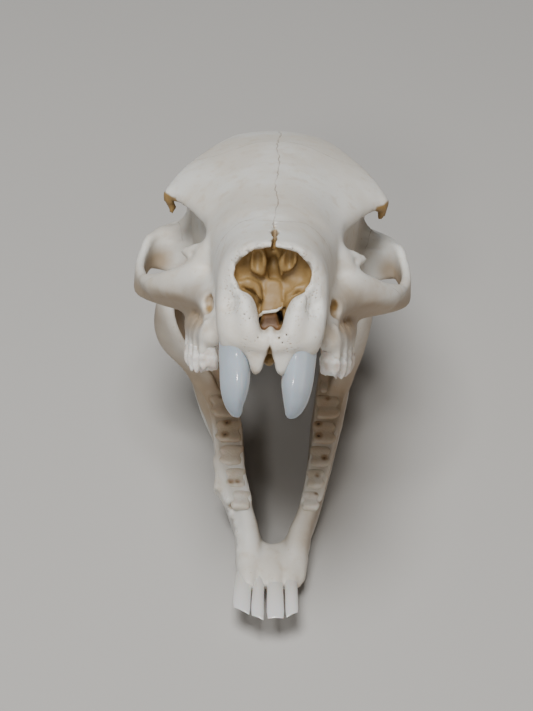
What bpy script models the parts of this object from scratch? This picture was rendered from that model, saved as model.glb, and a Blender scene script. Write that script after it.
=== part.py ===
"""Skull of a rock hyrax with its jaw open, as faceted solids.

The cranium and the mandible are each grown as one solid: simple shapes are joined and cut as signed
distances on a grid of points, and the zero surface becomes the mesh. Each tooth is a solid of its own.

Shapes are written in millimetres in the head's own frame with the jaw closed: X to the skull's left,
Y backwards from the front of the premaxilla, Z up. Only the side with X above zero is written and it
is mirrored. The skull then rests on the lower edge of the mandible, with the cranium tipped back
about the jaw hinge line.
"""

import math

import bmesh
import bpy
import numpy as np
import openvdb
from mathutils import Matrix, Vector

MM = 0.001

# how the two halves sit
HINGE = Vector((0.0, 62.0, 9.6))
GAPE = 44.0
JAW_REST = 13.4
JAW_SWING = 2.4
FLOOR = 38.7

# main sizes
BRAIN_HALF = 17.2
ARCH_HALF = 24.3
SNOUT_HALF = 9.2

# upper cheek teeth, front to back: centre X, centre Y, alveolar edge Z, half width
UPPER_ROW = [
    ("p1", 9.9, 14.0, 0.4, 1.9),
    ("p2", 10.8, 18.7, -0.5, 2.3),
    ("p3", 11.5, 23.9, -1.2, 2.6),
    ("p4", 12.0, 29.4, -1.7, 2.9),
    ("m1", 12.2, 35.2, -2.0, 3.0),
    ("m2", 12.1, 41.2, -2.0, 3.0),
    ("m3", 11.6, 47.0, -1.7, 2.7),
]
UPPER_LENGTH = [4.3, 5.0, 5.3, 5.6, 5.9, 6.0, 5.5]
UPPER_CROWN = 4.0
UPPER_VALLEY = 0.9

# lower cheek teeth, front to back, in the same order
LOWER_ROW = [
    ("p1", 6.9, 18.3, -9.0, 1.6),
    ("p2", 7.6, 22.8, -9.0, 1.85),
    ("p3", 8.2, 27.6, -8.9, 2.1),
    ("p4", 8.8, 32.9, -8.8, 2.3),
    ("m1", 9.8, 38.5, -8.7, 2.4),
    ("m2", 11.0, 44.2, -8.6, 2.4),
    ("m3", 12.2, 49.7, -8.4, 2.2),
]
LOWER_LENGTH = [4.2, 4.6, 5.0, 5.4, 5.7, 5.7, 5.4]
LOWER_CROWN = 2.4
LOWER_VALLEY = 0.5

TOOTH_GAP = 0.35
ROOT_DEPTH = 1.8

CRANIUM_FACES = 4100
MANDIBLE_FACES = 1700

# surfaces: colour, roughness, metallic
BONE = ((0.74, 0.71, 0.65), 0.55, 0.0)
ENAMEL = ((0.70, 0.74, 0.77), 0.18, 0.0)
TOOTH = ((0.80, 0.78, 0.73), 0.42, 0.0)


# distances on a grid

def smooth_min(a, b, blend):
    """The smaller of two distances, rounded where they are close."""
    near = np.maximum(blend - np.abs(a - b), 0.0) / blend
    return np.minimum(a, b) - near * near * blend * 0.25


def spline(t, knots):
    """A smooth curve through (t, value) knots."""
    ts = np.array([k[0] for k in knots], float)
    vs = np.array([k[1] for k in knots], float)
    slope = np.gradient(vs, ts)
    t = np.clip(t, ts[0], ts[-1])
    i = np.clip(np.searchsorted(ts, t) - 1, 0, len(ts) - 2)
    h = ts[i + 1] - ts[i]
    s = (t - ts[i]) / h
    a = (1 + 2 * s) * (1 - s) ** 2 * vs[i] + s * (1 - s) ** 2 * h * slope[i]
    b = s * s * (3 - 2 * s) * vs[i + 1] + s * s * (s - 1) * h * slope[i + 1]
    return a + b


def rounded(points, steps=4):
    """A closed outline smoothed through its corner points."""
    p = np.array(points, float)
    out = []
    for i in range(len(p)):
        a, b, c, d = p[i - 1], p[i], p[(i + 1) % len(p)], p[(i + 2) % len(p)]
        for k in range(steps):
            t = k / steps
            out.append(0.5 * (2 * b + (c - a) * t + (2 * a - 5 * b + 4 * c - d) * t * t
                              + (3 * b - a - 3 * c + d) * t ** 3))
    return np.array(out)


def outline_distance(u, v, points):
    """Signed distance in a plane to a closed outline; inside is negative."""
    shape = np.broadcast(u, v).shape
    best = np.full(shape, 1e9)
    inside = np.zeros(shape, bool)
    for (u0, v0), (u1, v1) in zip(points, np.roll(points, -1, axis=0)):
        du, dv = u1 - u0, v1 - v0
        t = np.clip(((u - u0) * du + (v - v0) * dv) / (du * du + dv * dv + 1e-12), 0.0, 1.0)
        best = np.minimum(best, (u - u0 - t * du) ** 2 + (v - v0 - t * dv) ** 2)
        if dv:
            inside ^= ((v0 > v) != (v1 > v)) & (u < u0 + (v - v0) * du / dv)
    return np.where(inside, -1.0, 1.0) * np.sqrt(best)


def ball(centre, radii):
    """An ellipsoid."""
    c, r = np.array(centre, float), np.array(radii, float)

    def distance(x, y, z):
        q = [(x - c[0]) / r[0], (y - c[1]) / r[1], (z - c[2]) / r[2]]
        k0 = np.sqrt(q[0] ** 2 + q[1] ** 2 + q[2] ** 2) + 1e-6
        k1 = np.sqrt((q[0] / r[0]) ** 2 + (q[1] / r[1]) ** 2 + (q[2] / r[2]) ** 2) + 1e-6
        return k0 * (k0 - 1.0) / k1

    return distance, c - r, c + r


def bar(*stations):
    """A chain of round bars through (x, y, z, radius) stations."""
    s = np.array(stations, float)

    def distance(x, y, z):
        best = 1e9
        for a, b in zip(s[:-1], s[1:]):
            d = b[:3] - a[:3]
            t = ((x - a[0]) * d[0] + (y - a[1]) * d[1] + (z - a[2]) * d[2]) / (d @ d)
            t = np.clip(t, 0.0, 1.0)
            gap = np.sqrt((x - a[0] - t * d[0]) ** 2 + (y - a[1] - t * d[1]) ** 2
                          + (z - a[2] - t * d[2]) ** 2)
            best = np.minimum(best, gap - (a[3] + t * (b[3] - a[3])))
        return best

    return distance, (s[:, :3] - s[:, 3:]).min(0), (s[:, :3] + s[:, 3:]).max(0)


def loft(*stations, power=2.5, centre=0.0):
    """A body along Y through (y, bottom, top, half width[, centre x]) stations."""
    s = [tuple(st) + (centre,) * (5 - len(st)) for st in stations]
    ys = [st[0] for st in s]

    def distance(x, y, z):
        bottom, top, half, mid = (spline(y, [(st[0], st[i]) for st in s]) for i in (1, 2, 3, 4))
        height = (top - bottom) / 2
        u = np.abs(x - mid) / half
        v = np.abs(z - (top + bottom) / 2) / height
        reach = (u ** power + v ** power) ** (1 / power) + 1e-6
        steep = np.sqrt((u ** (power - 1) / half) ** 2 + (v ** (power - 1) / height) ** 2)
        steep = steep * reach ** (1 - power) + 1e-6
        side = np.maximum((reach - 1) / steep, -np.minimum(half, height))
        end = np.maximum(ys[0] - y, y - ys[-1])
        return np.maximum(side, end)

    low = [min(st[4] - st[3] for st in s), ys[0], min(st[1] for st in s)]
    high = [max(st[4] + st[3] for st in s), ys[-1], max(st[2] for st in s)]
    return distance, np.array(low) - 1, np.array(high) + 1


def sheet(axis, points, mid, thick):
    """A curved plate: an outline across an axis, a middle surface and a thickness along it."""
    across = [i for i in range(3) if i != axis]
    edge = rounded(points)

    def distance(*xyz):
        u, v, w = xyz[across[0]], xyz[across[1]], xyz[axis]
        m = np.broadcast_to(mid(u, v), np.broadcast(u, v).shape)
        t = thick(u, v) if callable(thick) else thick
        steep = 1.0
        for i in across:
            if m.shape[i] > 1:
                step = np.diff(xyz[i].ravel()[:2])[0]
                steep = steep + np.gradient(m, step, axis=i) ** 2
        d = np.abs(w - m) / np.sqrt(steep) - t / 2
        flat = outline_distance(u, v, edge)
        r = 0.5
        a, b = flat + r, d + r
        outside = np.sqrt(np.maximum(a, 0) ** 2 + np.maximum(b, 0) ** 2)
        return outside + np.minimum(np.maximum(a, b), 0) - r

    us = np.linspace(edge[:, 0].min(), edge[:, 0].max(), 12)
    vs = np.linspace(edge[:, 1].min(), edge[:, 1].max(), 12)
    heights = np.array([[float(mid(np.array(a), np.array(b))) for b in vs] for a in us])
    low, high = np.zeros(3), np.zeros(3)
    low[across], high[across] = edge.min(0), edge.max(0)
    low[axis], high[axis] = heights.min() - 6, heights.max() + 6
    return distance, low, high


class Grown:
    """Half of a solid (X from 0 up) held as signed distances on a grid."""

    def __init__(self, low, high, step):
        self.step = step
        self.axes = [np.arange(a, b + step, step) for a, b in zip(low, high)]
        self.field = np.full([len(a) for a in self.axes], 9.0)

    def window(self, low, high):
        picks, points = [], []
        for i, axis in enumerate(self.axes):
            a, b = np.searchsorted(axis, (low[i], high[i]))
            picks.append(slice(a, b))
            shape = [1, 1, 1]
            shape[i] = -1
            points.append(axis[a:b].reshape(shape))
        return tuple(picks), points

    def add(self, shape, blend=1.0):
        distance, low, high = shape
        picks, points = self.window(low - blend - 1.5, high + blend + 1.5)
        self.field[picks] = smooth_min(self.field[picks], distance(*points), blend)

    def cut(self, shape, blend=0.5):
        distance, low, high = shape
        picks, points = self.window(low - blend - 1.5, high + blend + 1.5)
        self.field[picks] = -smooth_min(-self.field[picks], distance(*points), blend)

    def soften(self):
        """Average each point with its neighbours, so that creases round over."""
        f = np.concatenate([self.field[1:2], self.field], axis=0)
        for i in range(3):
            f = (f + np.roll(f, 1, i) + np.roll(f, -1, i)) / 3
        self.field = f[1:]

    def mesh(self, name):
        """The zero surface of both halves as a mesh in metres about the hinge."""
        full = np.concatenate([self.field[:0:-1], self.field], axis=0)
        full = np.clip(full / self.step, -3, 3).astype(np.float32)
        grid = openvdb.FloatGrid(background=3.0)
        grid.copyFromArray(full)
        points, quads = grid.convertToQuads(isovalue=0.0)
        start = [-self.axes[0][-1], self.axes[1][0], self.axes[2][0]]
        points = (np.array(points) * self.step + start - np.array(HINGE)) * MM
        mesh = bpy.data.meshes.new(name)
        mesh.from_pydata(points.tolist(), [], np.array(quads).tolist())
        keep_outer(mesh)
        return mesh


def keep_outer(mesh):
    """Drop every shell but the largest, so that no closed pocket is left inside."""
    bm = bmesh.new()
    bm.from_mesh(mesh)
    waiting = set(bm.verts)
    shells = []
    while waiting:
        edge = [waiting.pop()]
        shell = list(edge)
        while edge:
            near = [e.other_vert(v) for v in edge for e in v.link_edges]
            edge = list(waiting.intersection(near))
            waiting.difference_update(edge)
            shell += edge
        shells.append(shell)
    shells.sort(key=len)
    for shell in shells[:-1]:
        bmesh.ops.delete(bm, geom=shell, context='VERTS')
    bm.to_mesh(mesh)
    bm.free()


# cranium

def roof_height(x, y):
    crown = spline(y, [(18, 21.6), (26, 23.6), (32, 25.0), (38, 26.6), (44, 28.6), (50, 30.2), (60, 31.2)])
    half = spline(y, [(18, 10.5), (26, 11), (32, 11.8), (38, 13.6), (44, 16.4), (50, 20), (60, 20)])
    drop = spline(y, [(18, 6), (26, 6.4), (32, 6.6), (38, 6.4), (44, 7), (50, 7.8), (60, 9)])
    return crown - 1.3 - drop * (np.abs(x) / half) ** 2.3


def add_snout(s):
    s.add(loft((-2.5, 3.0, 20.0, 8.5), (1, 3.0, 20.5, 8.8), (5, 2.6, 20.9, 9.0), (9, 1.6, 21.5, SNOUT_HALF),
               (14, 0.9, 22.3, 9.5), (20, 0.3, 23.2, 10.2), (26, 0.2, 24.0, 10.8), (31, 0.5, 24.7, 10.4),
               (37, 0.8, 25.6, 8.8), (44, 1.6, 27.0, 8.6), (50, 2.2, 28.6, 10.5), (54, 2.6, 29.6, 12),
               power=2.6), 1.0)
    s.add(loft((-2.5, 2.8, 13.0, 8.5), (3, 2.8, 14.0, 8.9), (10, 2.6, 15.0, 8.9), power=4.5), 1.0)
    s.add(bar((9.4, 13.0, 3.8, 2.5), (10.6, 20, 2.5, 2.9), (11.6, 29, 1.4, 3.2), (11.9, 37, 1.2, 3.2),
              (11.6, 47.5, 1.4, 3.0)), 2.0)
    s.add(bar((1.9, 2.8, 5.0, 1.7), (2.0, 3.0, 0.4, 0.9)), 1.0)


def add_forehead(s):
    half = [(-3, 22), (5.5, 23.5), (9.6, 26.5), (11.6, 31), (12.2, 35), (14.0, 39), (16.3, 43.5), (18.6, 47),
            (20.4, 49), (20.6, 50.8), (19.4, 52.6), (16.8, 55.5), (14.5, 59), (-3, 62)]
    s.add(sheet(2, half, roof_height, 2.6), 2.2)
    s.add(bar((19.4, 50.2, 21.6, 1.3), (18.8, 51.0, 19.6, 0.95), (18.3, 51.6, 18.2, 0.55)), 0.8)
    s.add(bar((10.6, 29, 15.8, 2.2), (13.6, 31.2, 15.2, 1.3), (16.4, 33.0, 14.6, 0.65)), 1.0)
    s.add(bar((11.2, 29.5, 18.6, 1.5), (11.9, 29.4, 15.0, 1.5), (12.9, 29.8, 12.2, 1.6), (15.4, 31.4, 10.2, 1.6),
              (18.2, 33.8, 8.7, 1.4), (20.6, 37.2, 7.4, 1.2)), 1.2)


def add_brain_case(s):
    s.add(loft((44, 4.0, 27.8, 9.0), (50, 3.6, 29.6, 11.6), (56, 3.2, 31.0, 14.0), (62, 2.8, 31.6, 16.0),
               (69, 2.6, 31.3, BRAIN_HALF), (76, 3.0, 30.0, 17.0), (82, 4.2, 28.2, 15.4),
               (86, 5.2, 26.6, 13.2), (88.2, 6.4, 24.6, 11.0), power=2.3), 2.0)
    s.add(bar((0, 87.2, 26.6, 1.5), (7, 86.4, 25.8, 1.5), (12.2, 84.6, 21.6, 1.5), (15, 82, 14, 1.4)), 1.4)
    s.add(bar((17.4, 54.0, 24.2, 1.2), (13.0, 60, 27.4, 1.2), (8.0, 69, 29.7, 1.2), (5.4, 79, 28.5, 1.2),
              (5.8, 86, 25.6, 1.2)), 2.2)
    s.add(bar((13.4, 67, 13.6, 4.6), (18.4, 65.2, 13.4, 2.9), (21.0, 62.0, 13.2, 2.2)), 1.6)
    s.add(bar((17.4, 67.2, 12.0, 1.9), (17.2, 67.4, 9.4, 1.2)), 1.0)


def add_cheek_arch(s):
    side = [(25, 4.0), (28, 2.4), (32, 1.9), (37, 1.8), (42, 1.9), (46, 2.2), (50, 3.0), (54, 4.4), (58, 6.6),
            (62, 9.8), (66, 11.6), (68, 13.4), (66, 15.6), (62, 15.4), (59, 15.2), (57, 15.4), (55.4, 14.0),
            (53, 11.4), (50, 9.8), (46, 8.4), (42, 7.6), (38, 8.0), (34, 9.2), (31, 10.4), (27, 11)]

    def bow(y, z):
        out = spline(y, [(24, 8.5), (28, 12.0), (31, 14.8), (34, 17.6), (37, 19.9), (41, 22.2), (45, 23.6),
                         (49, ARCH_HALF), (53, 24.2), (57, 23.4), (61, 21.6), (65, 19.0), (69, 16)])
        return out + 0.05 * (7 - z)

    def thick(y, z):
        return spline(y, [(24, 4.6), (33, 4.2), (40, 3.0), (48, 2.5), (60, 2.4), (69, 2.6)]) + 0 * z

    s.add(sheet(0, side, bow, thick), 2.0)
    s.add(bar((9.4, 18, 6.0, 2.6), (11.2, 24.5, 6.4, 3.4), (13.6, 29.5, 6.6, 3.8), (16.8, 33.2, 6.0, 3.2),
              (20.2, 38, 5.0, 2.2)), 2.4)


def add_base(s):
    s.add(ball((8.8, 73.5, 2.6), (4.6, 6.6, 4.8)), 1.0)
    s.add(bar((12, 73, 7.5, 3.0), (15.6, 72.0, 9.0, 2.3)), 1.0)
    s.add(bar((13.4, 83, 9.0, 2.6), (13.6, 83.6, 2.5, 1.6), (13.0, 83.0, -4.0, 0.9)), 1.0)
    s.add(bar((5.2, 88.6, 10.6, 2.6), (5.0, 89.2, 7.4, 2.8), (3.4, 87.4, 5.0, 2.2)), 1.0)
    wing = [(46.5, 5.0), (46.5, 0.0), (50, -1.6), (54, -2.8), (57, -2.8), (57.6, -0.4), (60.5, 5.0)]
    s.add(sheet(0, wing, lambda y, z: 5.4 + 0.07 * (y - 46) - 0.06 * z, 1.5), 0.8)
    s.cut(bar((0, 49.0, 1.8, 3.3), (0, 60, 0.6, 3.2)), 0.8)
    s.cut(ball((0, 91.5, 11.0), (4.6, 8.5, 4.0)), 0.6)
    s.cut(ball((18.2, 72.0, 9.4), (3.6, 1.3, 1.3)), 0.4)
    s.cut(bar((13.0, HINGE.y, HINGE.z, 2.9), (24.0, HINGE.y, HINGE.z, 2.9)), 0.4)


def cut_face(s):
    def slant(x, y, z):
        edge = spline(z, [(-2, 1.0), (3, -0.7), (7, 0.1), (10, 2.0), (13.5, 4.0), (17, 4.3), (19.5, 3.0),
                          (22, 2.6)])
        return y - edge - 0.024 * x * x

    s.cut((slant, np.array([-1, -3, -4]), np.array([12, 9, 24])), 0.8)
    opening = [(-4, 19.3), (2.8, 19.2), (5.2, 17.8), (6.2, 15.2), (5.6, 13.2), (4.2, 12.2), (2.7, 10.9),
               (2.2, 9.2), (2.4, 7.8), (1.6, 6.6), (-4, 6.8)]
    s.cut(sheet(1, opening, lambda x, z: 4.0 + 0 * x + 0 * z, 13.0), 0.5)
    s.cut(ball((0, 13.0, 14.2), (6.6, 10.0, 5.6)), 0.5)
    s.add(bar((6.2, 6.0, 12.6, 1.0), (5.4, 15, 13.0, 1.6)), 0.5)
    s.add(bar((3.6, 6.4, 19.0, 0.8), (3.4, 8.0, 15.8, 0.9), (3.0, 17, 15.0, 1.6)), 0.5)
    s.add(bar((0, 6.0, 8.6, 0.9), (0, 20, 12.0, 1.8)), 0.6)
    s.add(bar((0, 6.5, 11.6, 0.6), (0, 12, 13.6, 0.8), (0, 21, 15.0, 1.2)), 0.6)
    s.cut(bar((10.8, 17.5, 7.4, 1.1), (11.6, 23, 7.6, 1.3), (14.0, 34, 10.5, 1.9)), 0.5)


def cranium_shape(step):
    s = Grown((0.0, -3.0, -7.0), (29.0, 96.0, 36.0), step)
    add_snout(s)
    add_forehead(s)
    add_brain_case(s)
    add_cheek_arch(s)
    add_base(s)
    cut_face(s)
    s.soften()
    return s


# mandible

def add_jaw_body(s):
    s.add(loft((1.0, -14.8, -9.8, 5.7), (5, -16.2, -10.0, 5.9), (9, -17.6, -11.2, 6.3), (13, -18.8, -13.2, 7.2),
               (17, -20.0, -15.2, 7.8)), 1.2)
    s.add(loft((11, -18.4, -10.4, 2.4, 4.7), (14, -19.4, -9.6, 2.6, 5.8), (18, -20.4, -9.3, 2.6, 6.8),
               (24, -21.2, -9.2, 2.7, 7.9), (30, -22.2, -9.1, 2.8, 8.6), (36, -23.6, -9.0, 3.0, 9.4),
               (43, -25.2, -8.9, 3.2, 10.8), (53, -26.5, -8.6, 3.0, 12.8), power=2.8), 1.4)


def add_jaw_branch(s):
    side = [(38, -16), (40, -9.5), (43, -3.5), (46, 1.5), (49, 6.0), (51.8, 9.6), (54.2, 11.6), (56, 10.6),
            (57.8, 8.4), (60, 8.2), (62, 8.8), (63.4, 7.0), (65, 3.4), (68, -1.0), (72, -6.4), (74.6, -12.4),
            (73.4, -19.0), (69, -25.0), (62, -28.4), (54, -28.6), (46, -26.6), (39, -24.2)]

    def lean(y, z):
        top = spline(y, [(38, 10.6), (43, 12.6), (47, 14.8), (51, 16.8), (56, 18.0), (62, 18.0), (70, 17.2),
                         (76, 16.6)])
        low = spline(y, [(38, 9.6), (46, 10.4), (50, 10.9), (54, 11.6), (58, 12.6), (62, 13.8), (68, 15.4),
                         (76, 16.4)])
        lift = spline(z, [(-28, 0.0), (-20, 0.3), (-10, 0.85), (-4, 1.0), (12, 1.0)])
        return low + (top - low) * lift

    s.add(sheet(0, side, lean, 2.2), 1.0)
    s.add(bar((11.2, 40, -13, 2.3), (14.0, 44.5, -9.5, 2.3), (17.0, 48.5, -3.5, 2.0), (18.4, 52, 3.6, 1.6),
              (18.2, 54.2, 9.4, 1.1)), 1.6)
    s.add(bar((10.0, 44, -24.2, 1.7), (11.0, 50, -26.2, 1.6), (12.0, 55, -26.9, 1.5), (13.8, 62, -26.6, 1.4),
              (15.8, 69, -23.2, 1.3), (16.6, 73, -16.0, 1.2)), 1.4)
    s.add(bar((15.0, HINGE.y, HINGE.z, 1.85), (21.2, HINGE.y, HINGE.z, 1.85)), 0.9)


def mandible_shape(step):
    s = Grown((0.0, -2.0, -32.0), (24.0, 79.0, 15.0), step)
    add_jaw_body(s)
    add_jaw_branch(s)
    s.cut(ball((0, 24, -10.5), (2.6, 14, 7.0)), 1.0)
    s.cut(ball((8.0, 10.5, -14.2), (1.6, 1.1, 0.9)), 0.4)
    s.soften()
    return s


# teeth

def tube(name, rings, parent):
    """A closed solid through rings of points given in the head's frame."""
    bm = bmesh.new()
    loops = [[bm.verts.new((Vector(p) - HINGE) * MM) for p in ring] for ring in rings]
    count = len(loops[0])
    for a, b in zip(loops[:-1], loops[1:]):
        for i in range(count):
            bm.faces.new((a[i], a[(i + 1) % count], b[(i + 1) % count], b[i]))
    bm.faces.new(loops[0])
    bm.faces.new(loops[-1])
    bmesh.ops.recalc_face_normals(bm, faces=bm.faces)
    mesh = bpy.data.meshes.new(name)
    bm.to_mesh(mesh)
    bm.free()
    return place(name, mesh, parent)


def place(name, mesh, parent):
    obj = bpy.data.objects.new(name, mesh)
    bpy.context.scene.collection.objects.link(obj)
    obj.parent = parent
    return obj


def finish(obj, surface):
    """Smooth shading with sharp creases kept, and a material of the piece's own."""
    colour, roughness, metallic = surface
    obj.data.shade_smooth()
    obj.data.set_sharp_from_angle(angle=math.radians(50))
    material = bpy.data.materials.new(obj.name)
    material.use_nodes = True
    shader = material.node_tree.nodes["Principled BSDF"]
    shader.inputs["Base Color"].default_value = (*colour, 1.0)
    shader.inputs["Roughness"].default_value = roughness
    shader.inputs["Metallic"].default_value = metallic
    obj.data.materials.append(material)
    return obj


def cheek_tooth(name, side, down, row, length, crown, valley, parent):
    """A crown with a W-shaped outer wall, two lobes inside and a valley, on a short root."""
    _, x, y, z, half = row
    outline = [(-0.96, -0.50), (-0.70, 0.80), (0.0, 0.80), (0.72, 0.84), (0.96, -0.45), (0.56, -1.0), (0.0, -0.66),
               (-0.56, -1.0)]
    rings = []
    reach = length / 2 - TOOTH_GAP / 2
    levels = [(ROOT_DEPTH, 0.52), (-TOOTH_GAP, 0.56), (-TOOTH_GAP, 0.88), (-crown * 0.5, 1.0), (-crown, 0.88),
              (-crown + valley, 0.34)]
    for level, grow in levels:
        rings.append([(side * (x + b * half * grow), y + a * reach * grow, z + down * level) for a, b in outline])
    return tube(name, rings, parent)


def tusk_rings(side, path, grow):
    """Rings of a three-sided tusk with rounded corners."""
    corners = [(-1.0, 0.95), (-1.05, 0.1), (-0.55, -0.75), (0.1, -1.15), (0.7, -0.75), (1.08, 0.1), (1.0, 0.95),
               (0.0, 1.15)]
    return [[(side * (x + a * (r + grow)), y + b * (r + grow), z) for a, b in corners] for x, y, z, r in path]


def upper_incisor(name, side, parent):
    root = [(5.4, 4.4, 8.0, 1.3), (5.5, 3.4, 3.0, 1.7)]
    crown = [(5.5, 3.4, 3.0, 2.4), (5.2, 2.5, 0.0, 2.5), (5.05, 2.0, -3.2, 2.3), (4.9, 2.1, -5.8, 1.65),
             (4.8, 2.5, -7.4, 0.85), (4.75, 2.8, -8.1, 0.25)]
    return tube(name, tusk_rings(side, root + crown, 0.0), parent)


def upper_incisor_socket(name, side, parent):
    root = [(5.4, 4.4, 8.4, 1.3), (5.5, 3.4, 3.4, 1.7)]
    mouth = [(5.5, 3.4, 3.4, 2.4), (5.2, 2.5, 0.0, 2.5), (5.2, 2.5, -1.5, 2.5)]
    return hidden(tube(name, tusk_rings(side, root + mouth, 0.35), parent))


def spade_rings(side, x, splay, path, grow):
    """Rings of a flat spade that lies forward and curves up."""
    rings = []
    for y, z, wide, deep in path:
        centre = x + splay * (3.0 - y)
        w, d = wide + grow, deep + grow
        corners = [(-1, 0.1), (-0.6, -0.9), (0.6, -0.9), (1, 0.1), (0.55, 0.9), (-0.55, 0.9)]
        rings.append([(side * (centre + a * w), y - b * d * 0.55, z + b * d * 0.85) for a, b in corners])
    return rings


def lower_incisor(name, side, x, splay, parent):
    root = [(7.0, -13.0, 0.75, 0.8), (2.6, -12.2, 0.9, 1.0)]
    crown = [(2.6, -12.2, 1.2, 1.4), (0.0, -11.2, 1.25, 1.35), (-3.0, -9.6, 1.3, 1.05), (-5.2, -7.8, 1.3, 0.7),
             (-6.4, -6.6, 1.25, 0.35)]
    return tube(name, spade_rings(side, x, splay, root + crown, 0.0), parent)


def lower_incisor_socket(name, parent):
    """One slot across the chin for the roots of all four lower incisors."""
    rings = []
    for y, z, wide, deep in [(7.5, -13.1, 5.7, 1.2), (3.0, -12.3, 5.7, 1.3), (3.0, -12.3, 5.9, 1.8),
                             (0.0, -11.2, 6.1, 1.8), (-2.0, -10.3, 6.3, 1.8)]:
        rings.append([(a * wide, y - b * deep * 0.5, z + b * deep * 0.8)
                      for a, b in ((-1, -1), (1, -1), (1, 1), (-1, 1))])
    return hidden(tube(name, rings, parent))


# sockets

def trough(name, side, row, lengths, down, parent):
    """The groove along the jaw edge that a row of roots stands in, and the room for its crowns."""
    bm = bmesh.new()
    stops = []
    for (_, x, y, z, half), length in zip(row, lengths):
        stops.append((x, y, z, half))
    (x, y, z, half), reach = stops[0], lengths[0] * 0.5 + 0.2
    stops.insert(0, (x, y - reach, z, half))
    (x, y, z, half), reach = stops[-1], lengths[-1] * 0.5 + 0.2
    stops.append((x, y + reach, z, half))
    loops = []
    for x, y, z, half in stops:
        deep, out = z + down * (ROOT_DEPTH + TOOTH_GAP), z - down * 6.0
        root, crown = half * 0.56 + 0.5, half + 0.6
        corners = [(x - root, deep), (x + root, deep), (x + root, z), (x + crown, z), (x + crown, out),
                   (x - crown, out), (x - crown, z), (x - root, z)]
        loops.append([bm.verts.new((Vector((side * a, y, c)) - HINGE) * MM) for a, c in corners])
    for a, b in zip(loops[:-1], loops[1:]):
        for i in range(8):
            bm.faces.new((a[i], a[(i + 1) % 8], b[(i + 1) % 8], b[i]))
    bm.faces.new(loops[0])
    bm.faces.new(loops[-1])
    bmesh.ops.recalc_face_normals(bm, faces=bm.faces)
    mesh = bpy.data.meshes.new(name)
    bm.to_mesh(mesh)
    bm.free()
    return hidden(place(name, mesh, parent))


def hidden(obj):
    obj.hide_render = True
    obj.display_type = 'WIRE'
    return obj


def floor_block(parent):
    """What is cut off the mandible below, so that it rests on flats at the chin and both angles."""
    bm = bmesh.new()
    bmesh.ops.create_cube(bm, size=0.2)
    bmesh.ops.translate(bm, verts=bm.verts, vec=(0, 0, -0.1 - FLOOR * MM))
    mesh = bpy.data.meshes.new("floor_block")
    bm.to_mesh(mesh)
    bm.free()
    return hidden(place("floor_block", mesh, parent))


def rest_at_origin(root):
    """Bring the middle of the underside of the overall box to the origin."""
    bpy.context.view_layer.update()
    graph = bpy.context.evaluated_depsgraph_get()
    spots = []
    for obj in bpy.data.objects:
        if obj.type == 'MESH' and not obj.hide_render:
            mesh = obj.evaluated_get(graph).to_mesh()
            spots += [obj.matrix_world @ v.co for v in mesh.vertices]
    low = [min(p[i] for p in spots) for i in range(3)]
    high = [max(p[i] for p in spots) for i in range(3)]
    root.location = (-(low[0] + high[0]) / 2, -(low[1] + high[1]) / 2, -low[2])


def carve(obj, cutter):
    cut = obj.modifiers.new(cutter.name, 'BOOLEAN')
    cut.operation = 'DIFFERENCE'
    cut.solver = 'EXACT'
    cut.object = cutter


def main():
    for obj in list(bpy.data.objects):
        bpy.data.objects.remove(obj)
    root = place("seat", None, None)
    head = place("head_group", None, root)
    jaw = place("jaw_group", None, root)
    head.matrix_local = Matrix.Rotation(math.radians(JAW_REST - GAPE), 4, 'X')
    jaw.matrix_local = (Matrix.Rotation(math.radians(JAW_SWING), 4, 'Z')
                        @ Matrix.Rotation(math.radians(JAW_REST), 4, 'X'))
    cranium = finish(place("cranium", cranium_shape(0.6).mesh("cranium"), head), BONE)
    mandible = finish(place("mandible", mandible_shape(0.6).mesh("mandible"), jaw), BONE)
    for obj, count in ((cranium, CRANIUM_FACES), (mandible, MANDIBLE_FACES)):
        faces = sum(len(p.vertices) - 2 for p in obj.data.polygons)
        thin = obj.modifiers.new("thin", 'DECIMATE')
        thin.ratio = count / faces
    carve(mandible, floor_block(root))
    carve(mandible, lower_incisor_socket("lower_incisor_socket", jaw))
    for side, tag in ((1, "left"), (-1, "right")):
        for row, length in zip(UPPER_ROW, UPPER_LENGTH):
            name = f"upper_{row[0]}_{tag}"
            finish(cheek_tooth(name, side, 1, row, length, UPPER_CROWN, UPPER_VALLEY, head), TOOTH)
        for row, length in zip(LOWER_ROW, LOWER_LENGTH):
            name = f"lower_{row[0]}_{tag}"
            finish(cheek_tooth(name, side, -1, row, length, LOWER_CROWN, LOWER_VALLEY, jaw), TOOTH)
        carve(cranium, trough(f"upper_trough_{tag}", side, UPPER_ROW, UPPER_LENGTH, 1, head))
        carve(mandible, trough(f"lower_trough_{tag}", side, LOWER_ROW, LOWER_LENGTH, -1, jaw))
        finish(upper_incisor(f"upper_incisor_{tag}", side, head), ENAMEL)
        carve(cranium, upper_incisor_socket(f"upper_socket_{tag}", side, head))
        for number, x, splay in ((1, 1.5, 0.01), (2, 4.2, 0.03)):
            finish(lower_incisor(f"lower_incisor_{number}_{tag}", side, x, splay, jaw), ENAMEL)
    rest_at_origin(root)


main()
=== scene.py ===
"""Looks of the rock hyrax skull with its jaw open: fine bone, teeth, floor, light and camera.

The cranium and the mandible are grown on a grid of points as signed distances, with the same main
shapes as the solids and finer ones on top, and each tooth the same way on a small grid of its own.
The incisors are rings of points along a path. Shapes are written in millimetres in the head's own
frame with the jaw closed: X to the skull's left, Y backwards from the front of the premaxilla, Z up.
The cranium and the mandible, each with its teeth, are then turned about the jaw hinge into the row's
frame.
"""

import itertools
import math

import bmesh
import bpy
import numpy as np
import openvdb
from mathutils import Matrix, Vector


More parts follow.
